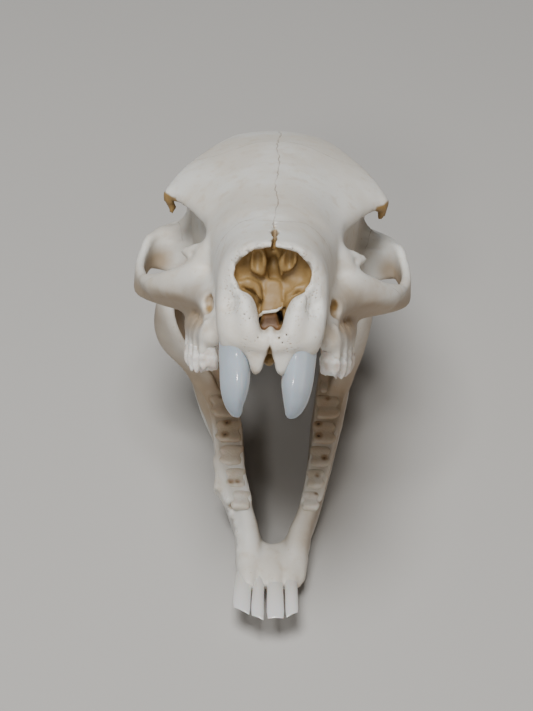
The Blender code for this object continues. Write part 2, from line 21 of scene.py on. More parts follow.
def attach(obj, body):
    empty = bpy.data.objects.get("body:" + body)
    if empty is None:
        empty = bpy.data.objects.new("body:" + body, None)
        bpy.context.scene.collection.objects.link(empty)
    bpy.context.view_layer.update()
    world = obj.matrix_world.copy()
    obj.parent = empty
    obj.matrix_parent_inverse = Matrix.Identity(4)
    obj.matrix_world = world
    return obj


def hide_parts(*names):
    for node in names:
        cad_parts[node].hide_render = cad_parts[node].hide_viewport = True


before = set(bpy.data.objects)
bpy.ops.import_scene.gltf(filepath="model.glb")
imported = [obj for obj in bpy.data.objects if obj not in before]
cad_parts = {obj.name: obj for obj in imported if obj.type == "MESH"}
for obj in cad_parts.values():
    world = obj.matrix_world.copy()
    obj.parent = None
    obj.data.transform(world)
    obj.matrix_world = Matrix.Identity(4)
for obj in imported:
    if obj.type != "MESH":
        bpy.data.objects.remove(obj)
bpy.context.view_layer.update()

MM = 0.001
COARSE = 1.0

# shapes and grids, in millimetres
FAR = 9.0  # the distance that an empty grid holds
PLATE_EDGE = 0.5  # rounding of a plate's rim
PAST_BLEND = 1.5  # how far beyond its blend a shape is worked out
TOOTH_STEP = 0.17  # grid spacing of a cheek tooth

# how many sutures are drawn, and large numbers that spread a lattice over a table of noise
SUTURES = 6
SCATTER = (73856093, 19349663, 83492791)
TABLE = 4096

# the view, in the head's frame, and the point in metres that the lamps are turned to
VIEW_TILT = 12.0
VIEW_ROLL = 2.5
VIEW_DISTANCE = 300.0
VIEW_CENTRE = Vector((0, 0, 3.0))
LENS = 95.5
SHIFT_X = -3 / 711
MIDDLE = Vector((0, 0, 0.04))

# how the two halves sit
HINGE = Vector((0, 62, 9.6))
HINGE_AT_REST = Vector((0, 15.73, 38.7))
GAPE = 44.0
JAW_REST = 13.4
JAW_SWING = 2.4

# main sizes
BRAIN_HALF = 17.2
ARCH_HALF = 24.6
SNOUT_HALF = 9.2

# upper cheek teeth, front to back: centre X, centre Y, alveolar edge Z, half width, length
UPPER_ROW = [
    ("p1", 10.2, 14.2, -0.4, 1.6, 4),
    ("p2", 10.8, 18.7, -1.3, 2.3, 5),
    ("p3", 11.5, 23.9, -2, 2.6, 5.3),
    ("p4", 12, 29.4, -2.5, 2.9, 5.6),
    ("m1", 12.2, 35.2, -2.8, 3, 5.9),
    ("m2", 12.1, 41.2, -2.8, 3, 6),
    ("m3", 11.6, 47, -2.5, 2.7, 5.5),
]
UPPER_CROWN = 3.2

# lower cheek teeth, front to back, in the same order
LOWER_ROW = [
    ("p1", 7.2, 18.3, -9.2, 1.8, 4.2),
    ("p2", 8.2, 22.8, -9, 2, 4.6),
    ("p3", 9.2, 27.6, -8.9, 2.2, 5),
    ("p4", 10, 32.9, -8.8, 2.45, 5.4),
    ("m1", 10.8, 38.5, -8.7, 2.5, 5.7),
    ("m2", 11.6, 44.2, -8.6, 2.5, 5.7),
    ("m3", 12.6, 49.7, -8.4, 2.3, 5.4),
]
LOWER_CROWN = 1.75
ROOT_DEPTH = 1.8
TOOTH_GAP = 0.12

# small brown pits in the lower cheek teeth, on each side of the skull: X outwards, Y, radius
LOWER_PITS = {
    1: [(8.9, 34.6, 0.34), (8.9, 31.9, 0.34), (9.9, 27.1, 0.3), (8.5, 23.3, 0.2), (8.2, 19.6, 0.18),
        (10.8, 40.2, 0.2), (11.6, 44.6, 0.2)],
    -1: [(10.3, 34.6, 0.34), (10.5, 31.9, 0.32), (8.9, 21.7, 0.24), (7.8, 21.8, 0.2), (10.8, 40.2, 0.2)],
}

# lower incisors, from the skull's right to its left: node, edges in X at the gum and at the tip,
# and the tip's Y at both edges
LOWER_INCISORS = [
    ("lower_incisor_2_right", (-6.2, -2.75), (-7.1, -4), (-4, -5.7)),
    ("lower_incisor_1_right", (-2.65, -0.95), (-3.85, -1.55), (-5.9, -7)),
    ("lower_incisor_1_left", (-0.65, 2.15), (-1.05, 2.05), (-6.6, -6.5)),
    ("lower_incisor_2_left", (2.35, 4.85), (2.3, 4.6), (-6.3, -5)),
]

TO_ROW = Matrix.Scale(MM, 4) @ Matrix.Translation(HINGE_AT_REST)
FROM_HINGE = Matrix.Translation(-HINGE)
HEAD = TO_ROW @ Matrix.Rotation(math.radians(JAW_REST - GAPE), 4, 'X') @ FROM_HINGE
JAW = (TO_ROW @ Matrix.Rotation(math.radians(JAW_SWING), 4, 'Z')
       @ Matrix.Rotation(math.radians(JAW_REST), 4, 'X') @ FROM_HINGE)


# distances on a grid

def smooth_min(a, b, blend):
    """The smaller of two distances, rounded where they are close."""
    near = np.maximum(blend - np.abs(a - b), 0.0) / blend
    return np.minimum(a, b) - near * near * blend * 0.25


def spline(t, knots):
    """A smooth curve through (t, value) knots."""
    ts = np.array([k[0] for k in knots], float)
    vs = np.array([k[1] for k in knots], float)
    slope = np.gradient(vs, ts)
    t = np.clip(t, ts[0], ts[-1])
    i = np.clip(np.searchsorted(ts, t) - 1, 0, len(ts) - 2)
    h = ts[i + 1] - ts[i]
    s = (t - ts[i]) / h
    a = (1 + 2 * s) * (1 - s) ** 2 * vs[i] + s * (1 - s) ** 2 * h * slope[i]
    b = s * s * (3 - 2 * s) * vs[i + 1] + s * s * (s - 1) * h * slope[i + 1]
    return a + b


def rounded(points, steps=4):
    """A closed outline smoothed through its corner points."""
    p = np.array(points, float)
    out = []
    for i in range(len(p)):
        a, b, c, d = p[i - 1], p[i], p[(i + 1) % len(p)], p[(i + 2) % len(p)]
        for k in range(steps):
            t = k / steps
            out.append(0.5 * (2 * b + (c - a) * t + (2 * a - 5 * b + 4 * c - d) * t * t
                              + (3 * b - a - 3 * c + d) * t ** 3))
    return np.array(out)


def outline_distance(u, v, points):
    """Signed distance in a plane to a closed outline; inside is negative."""
    shape = np.broadcast(u, v).shape
    best = np.full(shape, 1e9)
    inside = np.zeros(shape, bool)
    for (u0, v0), (u1, v1) in zip(points, np.roll(points, -1, axis=0)):
        du, dv = u1 - u0, v1 - v0
        t = np.clip(((u - u0) * du + (v - v0) * dv) / (du * du + dv * dv + 1e-12), 0.0, 1.0)
        best = np.minimum(best, (u - u0 - t * du) ** 2 + (v - v0 - t * dv) ** 2)
        if dv:
            inside ^= ((v0 > v) != (v1 > v)) & (u < u0 + (v - v0) * du / dv)
    return np.where(inside, -1.0, 1.0) * np.sqrt(best)


def cell_corners(parts):
    """The eight corners of a cell, with their weights for a point that lies these parts of the way across."""
    for corner in itertools.product((0, 1), repeat=3):
        weights = [part if high else 1 - part for part, high in zip(parts, corner)]
        yield corner, weights[0] * weights[1] * weights[2]


def noise(x, y, z, seed):
    """Smooth value noise from -1 to 1 on a lattice one unit wide."""
    rng = np.random.default_rng(seed)
    table = rng.uniform(-1.0, 1.0, TABLE)
    cells, parts = [], []
    for q in (x, y, z):
        whole = np.floor(q)
        part = q - whole
        cells.append(whole.astype(np.int64))
        parts.append(part * part * (3 - 2 * part))
    total = 0.0
    for corner, weight in cell_corners(parts):
        i, j, k = ((cell + step) * many for cell, step, many in zip(cells, corner, SCATTER))
        total = total + table[(i ^ j ^ k) & (TABLE - 1)] * weight
    return total


def ball(centre, radii):
    """An ellipsoid."""
    c, r = np.array(centre, float), np.array(radii, float)

    def distance(x, y, z):
        q = [(x - c[0]) / r[0], (y - c[1]) / r[1], (z - c[2]) / r[2]]
        k0 = np.sqrt(q[0] ** 2 + q[1] ** 2 + q[2] ** 2) + 1e-6
        k1 = np.sqrt((q[0] / r[0]) ** 2 + (q[1] / r[1]) ** 2 + (q[2] / r[2]) ** 2) + 1e-6
        return k0 * (k0 - 1.0) / k1

    return distance, c - r, c + r


def bar(*stations):
    """A chain of round bars through (x, y, z, radius) stations."""
    s = np.array(stations, float)

    def distance(x, y, z):
        best = 1e9
        for a, b in zip(s[:-1], s[1:]):
            d = b[:3] - a[:3]
            t = ((x - a[0]) * d[0] + (y - a[1]) * d[1] + (z - a[2]) * d[2]) / (d @ d)
            t = np.clip(t, 0.0, 1.0)
            gap = np.sqrt((x - a[0] - t * d[0]) ** 2 + (y - a[1] - t * d[1]) ** 2
                          + (z - a[2] - t * d[2]) ** 2)
            best = np.minimum(best, gap - (a[3] + t * (b[3] - a[3])))
        return best

    return distance, (s[:, :3] - s[:, 3:]).min(0), (s[:, :3] + s[:, 3:]).max(0)


def loft(*stations, power=2.5):
    """A body along Y through (y, bottom, top, half width[, centre x]) stations."""
    s = [tuple(st) + (0.0,) * (5 - len(st)) for st in stations]
    ys = [st[0] for st in s]

    def distance(x, y, z):
        bottom, top, half, mid = (spline(y, [(st[0], st[i]) for st in s]) for i in (1, 2, 3, 4))
        height = (top - bottom) / 2
        u = np.abs(x - mid) / half
        v = np.abs(z - (top + bottom) / 2) / height
        reach = (u ** power + v ** power) ** (1 / power) + 1e-6
        steep = np.sqrt((u ** (power - 1) / half) ** 2 + (v ** (power - 1) / height) ** 2)
        steep = steep * reach ** (1 - power) + 1e-6
        side = np.maximum((reach - 1) / steep, -np.minimum(half, height))
        end = np.maximum(ys[0] - y, y - ys[-1])
        return np.maximum(side, end)

    low = [min(st[4] - st[3] for st in s), ys[0], min(st[1] for st in s)]
    high = [max(st[4] + st[3] for st in s), ys[-1], max(st[2] for st in s)]
    return distance, np.array(low) - 1, np.array(high) + 1


def level(value, u, v):
    """A number, or what a function gives, at each pair of coordinates."""
    return np.broadcast_to(value(u, v) if callable(value) else value, np.broadcast(u, v).shape)


def sheet(axis, points, mid, thick):
    """A plate: an outline across an axis; its middle and thickness along it are numbers or functions."""
    across = [i for i in range(3) if i != axis]
    edge = rounded(points)

    def distance(*xyz):
        u, v, w = xyz[across[0]], xyz[across[1]], xyz[axis]
        m, t = level(mid, u, v), level(thick, u, v)
        steep = 1.0
        for i in across:
            if m.shape[i] > 1:
                steep = steep + np.gradient(m, xyz[i].ravel(), axis=i) ** 2
        d = np.abs(w - m) / np.sqrt(steep) - t / 2
        a, b = outline_distance(u, v, edge) + PLATE_EDGE, d + PLATE_EDGE
        outside = np.sqrt(np.maximum(a, 0) ** 2 + np.maximum(b, 0) ** 2)
        return outside + np.minimum(np.maximum(a, b), 0) - PLATE_EDGE

    us = np.linspace(edge[:, 0].min(), edge[:, 0].max(), 12)
    vs = np.linspace(edge[:, 1].min(), edge[:, 1].max(), 12)
    heights = level(mid, us[:, None], vs[None, :])
    low, high = np.zeros(3), np.zeros(3)
    low[across], high[across] = edge.min(0), edge.max(0)
    low[axis], high[axis] = heights.min() - 6, heights.max() + 6
    return distance, low, high


def stops(*pairs):
    """Grid positions whose spacing follows (position, spacing) pairs."""
    places = [p for p, _ in pairs]
    gaps = [g * COARSE for _, g in pairs]
    out = [places[0]]
    while out[-1] < places[-1]:
        out.append(out[-1] + np.interp(out[-1], places, gaps))
    return np.array(out)


class Grown:
    """A solid held as signed distances on a grid, at first only its half with X from 0 up."""

    def __init__(self, xs, ys, zs):
        self.axes = [xs, ys, zs]
        self.field = np.full([len(a) for a in self.axes], FAR, np.float32)
        self.tints = {}

    def window(self, shape, margin):
        """The part of the grid round a shape, and its coordinates."""
        _, low, high = shape
        picks, points = [], []
        for i, axis in enumerate(self.axes):
            first, last = np.searchsorted(axis, (low[i] - margin, high[i] + margin))
            picks.append(slice(first, last))
            points.append(axis[first:last].reshape(np.roll((-1, 1, 1), i)))
        return tuple(picks), points

    def add(self, shape, blend=1.0):
        picks, points = self.window(shape, blend + PAST_BLEND)
        self.field[picks] = smooth_min(self.field[picks], shape[0](*points), blend)

    def cut(self, shape, blend=0.5):
        picks, points = self.window(shape, blend + PAST_BLEND)
        self.field[picks] = -smooth_min(-self.field[picks], shape[0](*points), blend)

    def tint(self, name, shape, soft=1.0):
        """Mark what lies inside a shape, for the material; the mark fades out over soft."""
        if name not in self.tints:
            self.tints[name] = np.zeros(self.field.shape, np.float32)
        picks, points = self.window(shape, soft)
        mark = np.clip(0.5 - shape[0](*points) / soft, 0.0, 1.0)
        self.tints[name][picks] = np.maximum(self.tints[name][picks], mark)

    def tint_sides(self, name, stations, soft):
        """Mark a bar on either side of the skull."""
        for side in (-1, 1):
            self.tint(name, bar(*[(side * x, *rest) for x, *rest in stations]), soft)

    def soften(self):
        """Average each point with its neighbours, so that creases round over."""
        f = np.concatenate([self.field[1:2], self.field], axis=0)
        for i in range(3):
            f = (f + np.roll(f, 1, i) + np.roll(f, -1, i)) / 3
        self.field = f[1:]

    def whole(self):
        """Mirror the half, so that what follows may differ from side to side."""
        self.axes[0] = np.concatenate([-self.axes[0][:0:-1], self.axes[0]])
        self.field = np.concatenate([self.field[:0:-1], self.field], axis=0)
        for name, shares in self.tints.items():
            self.tints[name] = np.concatenate([shares[:0:-1], shares], axis=0)

    def roughen(self, width, height, seed, where=None):
        """Raise and lower the surface by noise, everywhere or where a tint is."""
        skin = 1.2
        near = np.abs(self.field) < skin
        if where:
            near &= self.tints[where] > 0.01
        i, j, k = np.nonzero(near)
        bump = height * noise(self.axes[0][i] / width, self.axes[1][j] / width, self.axes[2][k] / width, seed)
        if where:
            bump = bump * self.tints[where][i, j, k]
        self.field[i, j, k] += bump

    def sample(self, values, spots):
        """Values of a grid at spots between its points."""
        base, parts = [], []
        for i, axis in enumerate(self.axes):
            at = np.interp(spots[:, i], axis, np.arange(len(axis)))
            low = np.minimum(at.astype(int), len(axis) - 2)
            base.append(low)
            parts.append(at - low)
        total = 0.0
        for (i, j, k), weight in cell_corners(parts):
            total = total + values[base[0] + i, base[1] + j, base[2] + k] * weight
        return total

    def surface(self):
        """The points and four-sided faces of the zero surface, in millimetres."""
        step, band = 0.3, 3.0
        full = np.clip(self.field / step, -band, band).astype(np.float32)
        grid = openvdb.FloatGrid(background=band)
        grid.copyFromArray(full)
        points, quads = grid.convertToQuads(isovalue=0.0)
        points, quads = largest_shell(np.array(points), np.array(quads))
        for i, axis in enumerate(self.axes):
            points[:, i] = np.interp(points[:, i], np.arange(len(axis)), axis)
        return points, quads

    def piece(self, name, place, turn=Matrix(), bend=None, marks=None):
        """A mesh object of the surface, with tints, marks and how deep each point lies as attributes; the
        depth sets painted shade in hollows.
        """
        points, quads = self.surface()
        mesh = bpy.data.meshes.new(name)
        mesh.from_pydata(points.tolist(), [], quads.tolist())
        mesh.shade_smooth()
        normals = np.zeros(len(points) * 3, np.float32)
        mesh.vertex_normals.foreach_get("vector", normals)
        normals = normals.reshape(-1, 3)
        depth = np.zeros(len(points))
        reaches = (0.7, 1.6, 3.2)
        for reach in reaches:
            free = self.sample(self.field, points + normals * reach)
            depth += np.clip(1 - free / reach, 0, 1) / len(reaches)
        give(mesh, "shade_depth", depth)
        for tint, shares in self.tints.items():
            give(mesh, tint, self.sample(shares, points))
        if marks:
            for mark, values in marks(points):
                give(mesh, mark, values)
        mesh.transform(turn)
        if turn.determinant() < 0:
            mesh.flip_normals()
        if bend:
            spots = np.array([v.co for v in mesh.vertices])
            spots[:, 0] += bend(spots)
            mesh.vertices.foreach_set("co", spots.ravel())
        mesh.transform(place)
        return add_object(name, mesh)


def largest_shell(points, quads):
    """Drop every shell but the one with the most points."""
    label = np.arange(len(points))
    while True:
        lowest = label[quads].min(1)
        before = label.copy()
        for corner in range(4):
            np.minimum.at(label, quads[:, corner], lowest)
        label = label[label]
        if (label == before).all():
            break
    names, counts = np.unique(label, return_counts=True)
    keep = label == names[counts.argmax()]
    order = np.cumsum(keep) - 1
    return points[keep], order[quads[keep[quads[:, 0]]]]


def give(mesh, name, values):
    attribute = mesh.attributes.new(name, 'FLOAT', 'POINT')
    attribute.data.foreach_set("value", np.ascontiguousarray(values, np.float32))


def add_object(name, data):
    obj = bpy.data.objects.new(name, data)
    bpy.context.scene.collection.objects.link(obj)
    return obj


# cranium

def roof_height(x, y):
    crown = spline(y, [(4, 20.3), (18, 21.8), (32, 24.9), (44, 28.2), (56, 30.9), (68, 31.9), (80, 30.8),
                       (90, 27.4)])
    half = spline(y, [(4, 9.5), (18, 10.2), (32, 11.8), (44, 16.4), (50, 20), (90, 20)])
    drop = spline(y, [(4, 6), (18, 6), (32, 6.4), (44, 6.2), (50, 6.5), (60, 7.6), (90, 8)])
    return crown - 1.3 - drop * (np.abs(x) / half) ** 2.3


def add_snout(s):
    s.add(loft((-2.5, 3.4, 19.8, 7.9), (1, 3.4, 20.3, 8.3), (5, 3, 20.8, 8.7), (9, 2.2, 21.4, SNOUT_HALF),
               (14, 1.8, 22.1, 9.4), (20, 1.6, 23.1, 10), (26, 1.6, 24.2, 10.6), (31, 1.4, 25.2, 10.8),
               (37, 1.4, 26.6, 11), (44, 1.8, 28.2, 12.2), (50, 2.2, 29.4, 13.8), (56, 2.6, 30.4, 15),
               power=2.3), 1)
    s.add(loft((-2.5, 3.3, 12, 8.1), (3, 3.1, 12.6, 8.6), (10, 2.8, 13.6, 8.8), power=2.9), 1.4)
    s.add(bar((9.8, 13.2, 3.1, 1.9), (10.8, 18.7, 2.1, 2.2), (11.6, 24, 1.7, 2.5), (12.2, 29.4, 1.4, 2.7),
              (12.4, 35.2, 0.8, 2.9), (12.2, 41.2, 0.6, 2.9), (11.7, 47.5, 0.6, 2.8)), 1.4)
    s.add(bar((8, 13, 5.2, 1.8), (9, 20, 4.7, 2.2), (9.6, 28, 4.3, 2.4), (9.8, 38, 4, 2.4)), 1.2)
    for _, cx, cy, cz, half, length in UPPER_ROW:
        for share in (-0.25, 0.25):
            y = cy + share * length
            s.add(bar((cx + half - 0.75, y, cz + 0.7, 0.95), (cx + half - 1, y + 0.3, cz + 5.8, 0.55)), 0.8)
    s.add(bar((5.6, 5.6, 9, 2.1), (5.5, 3.8, 4.4, 2.5)), 1.6)
    lobe = [(-2, 7.5), (-2, 5.2), (0.15, 4.6), (0.5, 2.8), (0.9, 1), (1.3, -0.2), (2.1, -0.8),
            (2.8, -0.4), (3.2, 1), (3.8, 2.6), (4.6, 4.2), (5, 7)]
    s.add(sheet(1, lobe, lambda x, z: 1.5 + 0.12 * x - 0.1 * z, 2.2), 0.8)
    s.add(bar((0, 5.6, 0.9, 0.95), (0, 12, 1.8, 1.8), (0, 30, 2.8, 1.8)), 1)


def add_forehead(s):
    half = [(-3, 22), (5.5, 23.5), (9.6, 26.5), (11.6, 31), (12.2, 35), (14, 39), (16.3, 43.5),
            (18.6, 47), (20.4, 49), (20.6, 50.8), (19.2, 53), (16.2, 57.5), (13, 62.5), (9.6, 69),
            (7.6, 76), (6.8, 83), (5.4, 86), (-3, 86.6)]
    s.add(sheet(2, half, roof_height, lambda x, y: 2.9 - 0.075 * np.abs(x)), 2.4)
    s.add(bar((19.5, 49.5, 21.9, 1.1), (19.3, 49.7, 20, 1), (18.7, 50, 18.1, 0.7)), 0.5)
    s.add(bar((10.6, 30.6, 13.6, 3), (13.4, 32.4, 13.7, 1.9), (15.9, 34, 13.8, 0.75)), 1)
    s.cut(ball((14, 30.6, 13.7), (1.5, 1, 0.8)), 0.5)
    s.add(bar((8.8, 30.5, 19.5, 0.9), (11.2, 29.8, 15, 1.6), (12.9, 29.8, 12.2, 1.7),
              (15.4, 31.4, 10, 1.7), (18.2, 33.8, 8.5, 1.5), (20.6, 37.2, 7.3, 1.3),
              (22.6, 41, 7.2, 1.1)), 1.2)


def add_brain_case(s):
    s.add(loft((44, 3.2, 27, 11), (50, 3.4, 28.8, 13), (56, 3.2, 30.4, 14.9), (62, 2.8, 31.2, 16.3),
               (69, 2.6, 31, BRAIN_HALF), (76, 3, 29.8, 17), (82, 4.2, 28, 15.4),
               (86, 5.2, 26.4, 13.2), (88.2, 6.4, 24.6, 11), power=2.3), 2.4)
    s.add(bar((0, 86.4, 26.8, 1.3), (7, 85.8, 25.6, 1.2), (12, 84.2, 21.6, 1.2), (14.8, 81.6, 14, 1.2)),
          1.4)
    s.add(bar((13.4, 67, 12.8, 4.4), (18.4, 65.2, 12.2, 2.2), (21, 62, 11.6, 1.9)), 1.6)
    s.add(bar((17.4, 67.2, 12, 1.9), (17.2, 67.4, 9.4, 1.2)), 1)
    wall = [(13, 17.8), (16.5, 17), (18.6, 15.2), (20.7, 13.6), (22.6, 12.2), (23.2, 10), (23.2, 7.2),
            (21, 5.9), (17, 5.6), (13.5, 5.4), (10.5, 7), (10, 15)]
    s.add(sheet(1, wall, lambda x, z: 58.9 + 0.5 * np.maximum(z - 11, 0), 1.7), 1.6)


def add_cheek_arch(s):
    side = [(25, 5), (28, 3.8), (32, 3), (37, 2.9), (42, 3), (46, 3.2), (50, 3.8), (54, 4.9), (58, 6.8),
            (62, 9.2), (66, 10.8), (68, 12.4), (66, 14), (62, 13.6), (59, 13.2), (57, 13.2), (55.4, 12.4),
            (53, 10.9), (50, 9.6), (46, 8.4), (42, 7.6), (38, 8), (34, 9.2), (31, 10.4), (27, 11)]

    def bow(y, z):
        under = spline(y, [(24, 1), (40, 0.9), (50, 0)]) * np.maximum(7.5 - z, 0)
        out = spline(y - under, [(20, 6.5), (24, 8.5), (28, 12), (31, 14.8), (34, 17.6), (37, 20),
                                 (41, 22.4), (45, 23.9), (49, ARCH_HALF), (53, 24.5), (57, 23.7),
                                 (61, 21.8), (65, 19), (69, 16)])
        return out + 0.05 * (7 - z)

    thick = [(24, 4), (33, 3.2), (40, 2.3), (48, 1.8), (56, 1.8), (62, 2.3), (69, 2.6)]
    s.add(sheet(0, side, bow, lambda y, z: spline(y, thick)), 1.8)
    s.add(bar((9.2, 17, 7.4, 2.2), (11, 24, 8, 2.6), (13.4, 29.2, 8.2, 2.7), (16.6, 33, 7.6, 2.2),
              (20.2, 38, 6.4, 1.7)), 2)


def add_base(s):
    s.add(ball((8.8, 73.5, 2.6), (4.6, 6.6, 4.8)), 1)
    s.add(bar((12, 73, 7.5, 3), (15.6, 72, 9, 2.3)), 1)
    s.add(bar((13.4, 83, 9, 2.6), (13.6, 83.6, 2.5, 1.6), (13, 83, -4, 0.9)), 1)
    s.add(ball((4.9, 87.8, 8.4), (2, 3, 3.6)), 0.9)
    s.add(bar((4.4, 86.4, 6, 1.8), (0, 83, 3.4, 2.6)), 1.4)
    wing = [(46.5, 5), (46.5, 0), (50, -1.6), (54, -2.8), (57, -2.8), (57.6, -0.4), (60.5, 5)]
    s.add(sheet(0, wing, lambda y, z: 5.4 + 0.07 * (y - 46) - 0.06 * z, 1.5), 0.8)
    s.cut(bar((0, 49, 1.8, 3.3), (0, 60, 0.6, 3.2)), 0.8)
    s.cut(bar((0, 95, 11, 3.9), (0, 80, 12.6, 3.4)), 0.8)
    s.cut(ball((18.2, 72, 9.4), (3.6, 1.3, 1.3)), 0.4)
    s.cut(bar((13, HINGE.y, HINGE.z, 2.35), (24, HINGE.y, HINGE.z, 2.35)), 0.4)


def cut_face(s):
    """Slant the front of the snout and open the nose and the cleft below it, tan inside."""
    def slant(x, y, z):
        edge = spline(z, [(-2, 1), (3, -0.5), (7, 0.3), (10, 2), (13.5, 3.7), (17, 4.1), (19.5, 3),
                          (22, 2.6)])
        return y - edge - 0.024 * x * x

    s.cut((slant, (-1, -3, -4), (12, 9, 24)), 2.2)
    s.add(bar((5.4, 4.9, 13.2, 0.9), (4.4, 3.4, 11.4, 1.5), (3.9, 2.4, 9, 1.7), (3.3, 1.5, 6.4, 1.8)), 1.2)
    s.cut(ball((6.9, 2.7, 11.4), (1.2, 1.9, 2.2)), 1.2)
    wide = [(-4, 19.4), (2.8, 19.3), (4.7, 17.6), (6, 15.3), (5.6, 13.6), (4.2, 12.6), (-4, 12.2)]
    narrow = [(-4, 13.4), (4.2, 13.2), (3, 11.4), (2.3, 9.6), (2, 8.2), (1.7, 6.9), (1, 6.2),
              (0, 7.1), (-1, 6.2), (-4, 6.2)]
    s.cut(sheet(1, wide, 1, 9.6), 0.5)
    s.cut(sheet(1, narrow, 1.8, 9), 1.4)
    s.cut(ball((0, 5.6, 15.6), (6.2, 2.6, 4)), 0.5)
    s.cut(ball((0, 5.6, 10.6), (2.6, 2.2, 4)), 0.5)
    s.tint("tan", sheet(1, [(x * 1.08, z) for x, z in wide], lambda x, z: 10.6 + 0.02 * x * x, 12), 0.6)
    s.tint("tan", sheet(1, [(x * 1.2, z) for x, z in narrow], 9.8, 12), 0.7)
    cleft = [(-1, 6.3), (0.06, 6.3), (0.16, 4.6), (0.38, 3), (0.7, 1.2), (-1, 1.2)]
    s.cut(sheet(1, cleft, 0.2, 4.8), 0.2)
    s.tint("tan", sheet(1, cleft, 3.8, 5.6), 0.9)
    foramen = ball((10.5, 16.6, 7.9), (1, 2.2, 1.7))
    s.cut(foramen, 0.5)
    s.tint("tan", foramen, 0.8)
    s.tint("tan", bar((0, 5.4, 0.8, 1.6), (0, 7, 1, 1.6)), 1.6)


def stain_and_shade_face(s):
    """Brown corners of the brow, and warm colour on the cheeks, the underside, the palate and between the
    tusks, partly stain and partly painted shade where the bone turns away from the light.
    """
    prong = [(17.5, 21.2), (19.2, 21.6), (21.4, 22.6), (21.6, 20), (19.5, 16.4), (17.5, 16.8)]
    s.tint("tan", sheet(1, prong, 49.4, 6), 0.9)
    s.tint("warm_stain_and_shade", bar((1.9, 1.3, -0.8, 0.5), (2.4, 1.3, 0.4, 0.3)), 2)
    s.tint("warm_stain_and_shade", bar((9.6, 13, 4.2, 1.5), (13, 22, 4.4, 3.4), (17.5, 34, 3.6, 4.2), (23, 46, 4.2, 3.6),
                       (22, 58, 8, 2.8)), 3.5)
    s.tint("warm_stain_and_shade", bar((10.8, 16, 9, 0.8), (12.8, 24, 8, 1.6), (16, 31, 6, 2)), 5)
    s.tint("warm_stain_and_shade", ball((6, 62, 2), (14, 34, 8)), 5)


def fill_nose(s):
    """The thin scrolls and ledges inside the nose, which differ from side to side."""
    s.cut(bar((-0.2, 6.4, 18.6, 0.8), (-0.1, 8.4, 16.5, 1), (0.2, 8.2, 14, 1)), 0.5)
    right_scroll = [(-3.2, 19.4), (-3.7, 17), (-3.4, 15.4), (-2.4, 14.6), (-1.5, 14.8), (-1.1, 16.2),
                    (-1.2, 17.6), (-1.9, 19.4)]
    left_scroll = [(2, 19.4), (1, 17.4), (0.9, 15.9), (1.3, 14.6), (1.8, 15.4), (2.9, 16), (3.6, 17.4),
                   (3.5, 19.4)]
    for scroll, (hollow_x, hollow_z) in ((right_scroll, (-2.6, 17)), (left_scroll, (2.5, 17.3))):
        s.add(sheet(1, scroll, lambda x, z: 8.2 + 0.25 * (19 - z), 6), 0.3)
        s.cut(ball((hollow_x, 5.2, hollow_z), (0.85, 1.4, 1.9)), 0.25)
    ledge = [(-6, 13.6), (-4.2, 14.2), (-2.6, 13.8), (-1.8, 12.6), (-1.4, 10.9), (-2.1, 11), (-2.9, 12.3),
             (-4.2, 12.9), (-6, 12.8)]
    s.add(sheet(1, ledge, lambda x, z: 5.6 + 0.1 * z, 3.4), 0.3)
    s.add(bar((5.6, 6.2, 13.4, 0.6), (3.8, 5.8, 12.9, 0.6), (2.7, 5.8, 11.8, 0.5), (2.3, 6.2, 10.2, 0.4)),
          0.4)
    tongue = [(-0.9, 13.6), (1.2, 13.8), (1.7, 12), (1.7, 9.3), (0.4, 8.9), (-1.5, 8.7), (-1.3, 10.6)]
    s.add(sheet(1, tongue, lambda x, z: 7.4 + 0.35 * (z - 9), 3.4), 0.4)
    s.roughen(1.3, 0.26, 41, "tan")


def floor_nose(s):
    """The rusty plate at the bottom of the nose, with a hole on each side and a pale ridge across."""
    floor_plate = [(-1.2, 9), (0.8, 9.1), (1.25, 7.5), (1.7, 6), (0, 5.6), (-1.9, 6), (-1.5, 7.4)]
    s.add(sheet(1, floor_plate, lambda x, z: 6.4 + 0.3 * (z - 6), 2.4), 0.2)
    s.tint("rust", sheet(1, floor_plate, 6, 4), 0.4)
    right_hole = [(-2.5, 8.1), (-1.7, 8.2), (-1.65, 7.6), (-1.9, 6.8), (-2.4, 6.8)]
    left_hole = [(0.8, 8.9), (1.6, 9), (2, 7.3), (1.5, 6.8), (1.3, 7.6)]
    for outline in (right_hole, left_hole):
        s.cut(sheet(1, outline, 6.6, 6), 0.15)
        # painted shade: the inside of each hole is painted near black
        s.tint("hole_shade", sheet(1, outline, 8.2, 7.4), 0.5)
    ridge = bar((-1.8, 4.3, 8.5, 0.2), (-1.3, 4, 9.2, 0.32), (-0.2, 3.9, 9.35, 0.3), (0.9, 4, 9.6, 0.32),
                (1.6, 4.3, 10.1, 0.2))
    s.add(ridge, 0.25)
    s.tint("pale", ridge, 0.4)


def split_nasals(s):
    """The open seam between the nasal bones, with crinkled edges."""
    def slit(x, y, z):
        wander = spline(y, [(2, 0), (4, -0.15), (6, 0), (9, 0), (12, -0.1), (17, 0)])
        width = spline(y, [(2, 0.6), (3.6, 0.5), (5, 0.8), (6.2, 0.9), (7.2, 0.6), (8.4, 1.2), (10, 1.2),
                           (11.2, 0.5), (13, 0.2), (14, 0)])
        crinkle = 0.14 * noise(np.sign(x) * 3.0, y / 0.5, 0.0, 21)
        return np.maximum(np.abs(x - wander) - width / 2 - crinkle, 18.6 - z)

    shape = (slit, (-1.5, 1, 18), (1.5, 13.6, 25))
    s.cut(shape, 0.15)
    s.tint("tan", shape, 0.5)


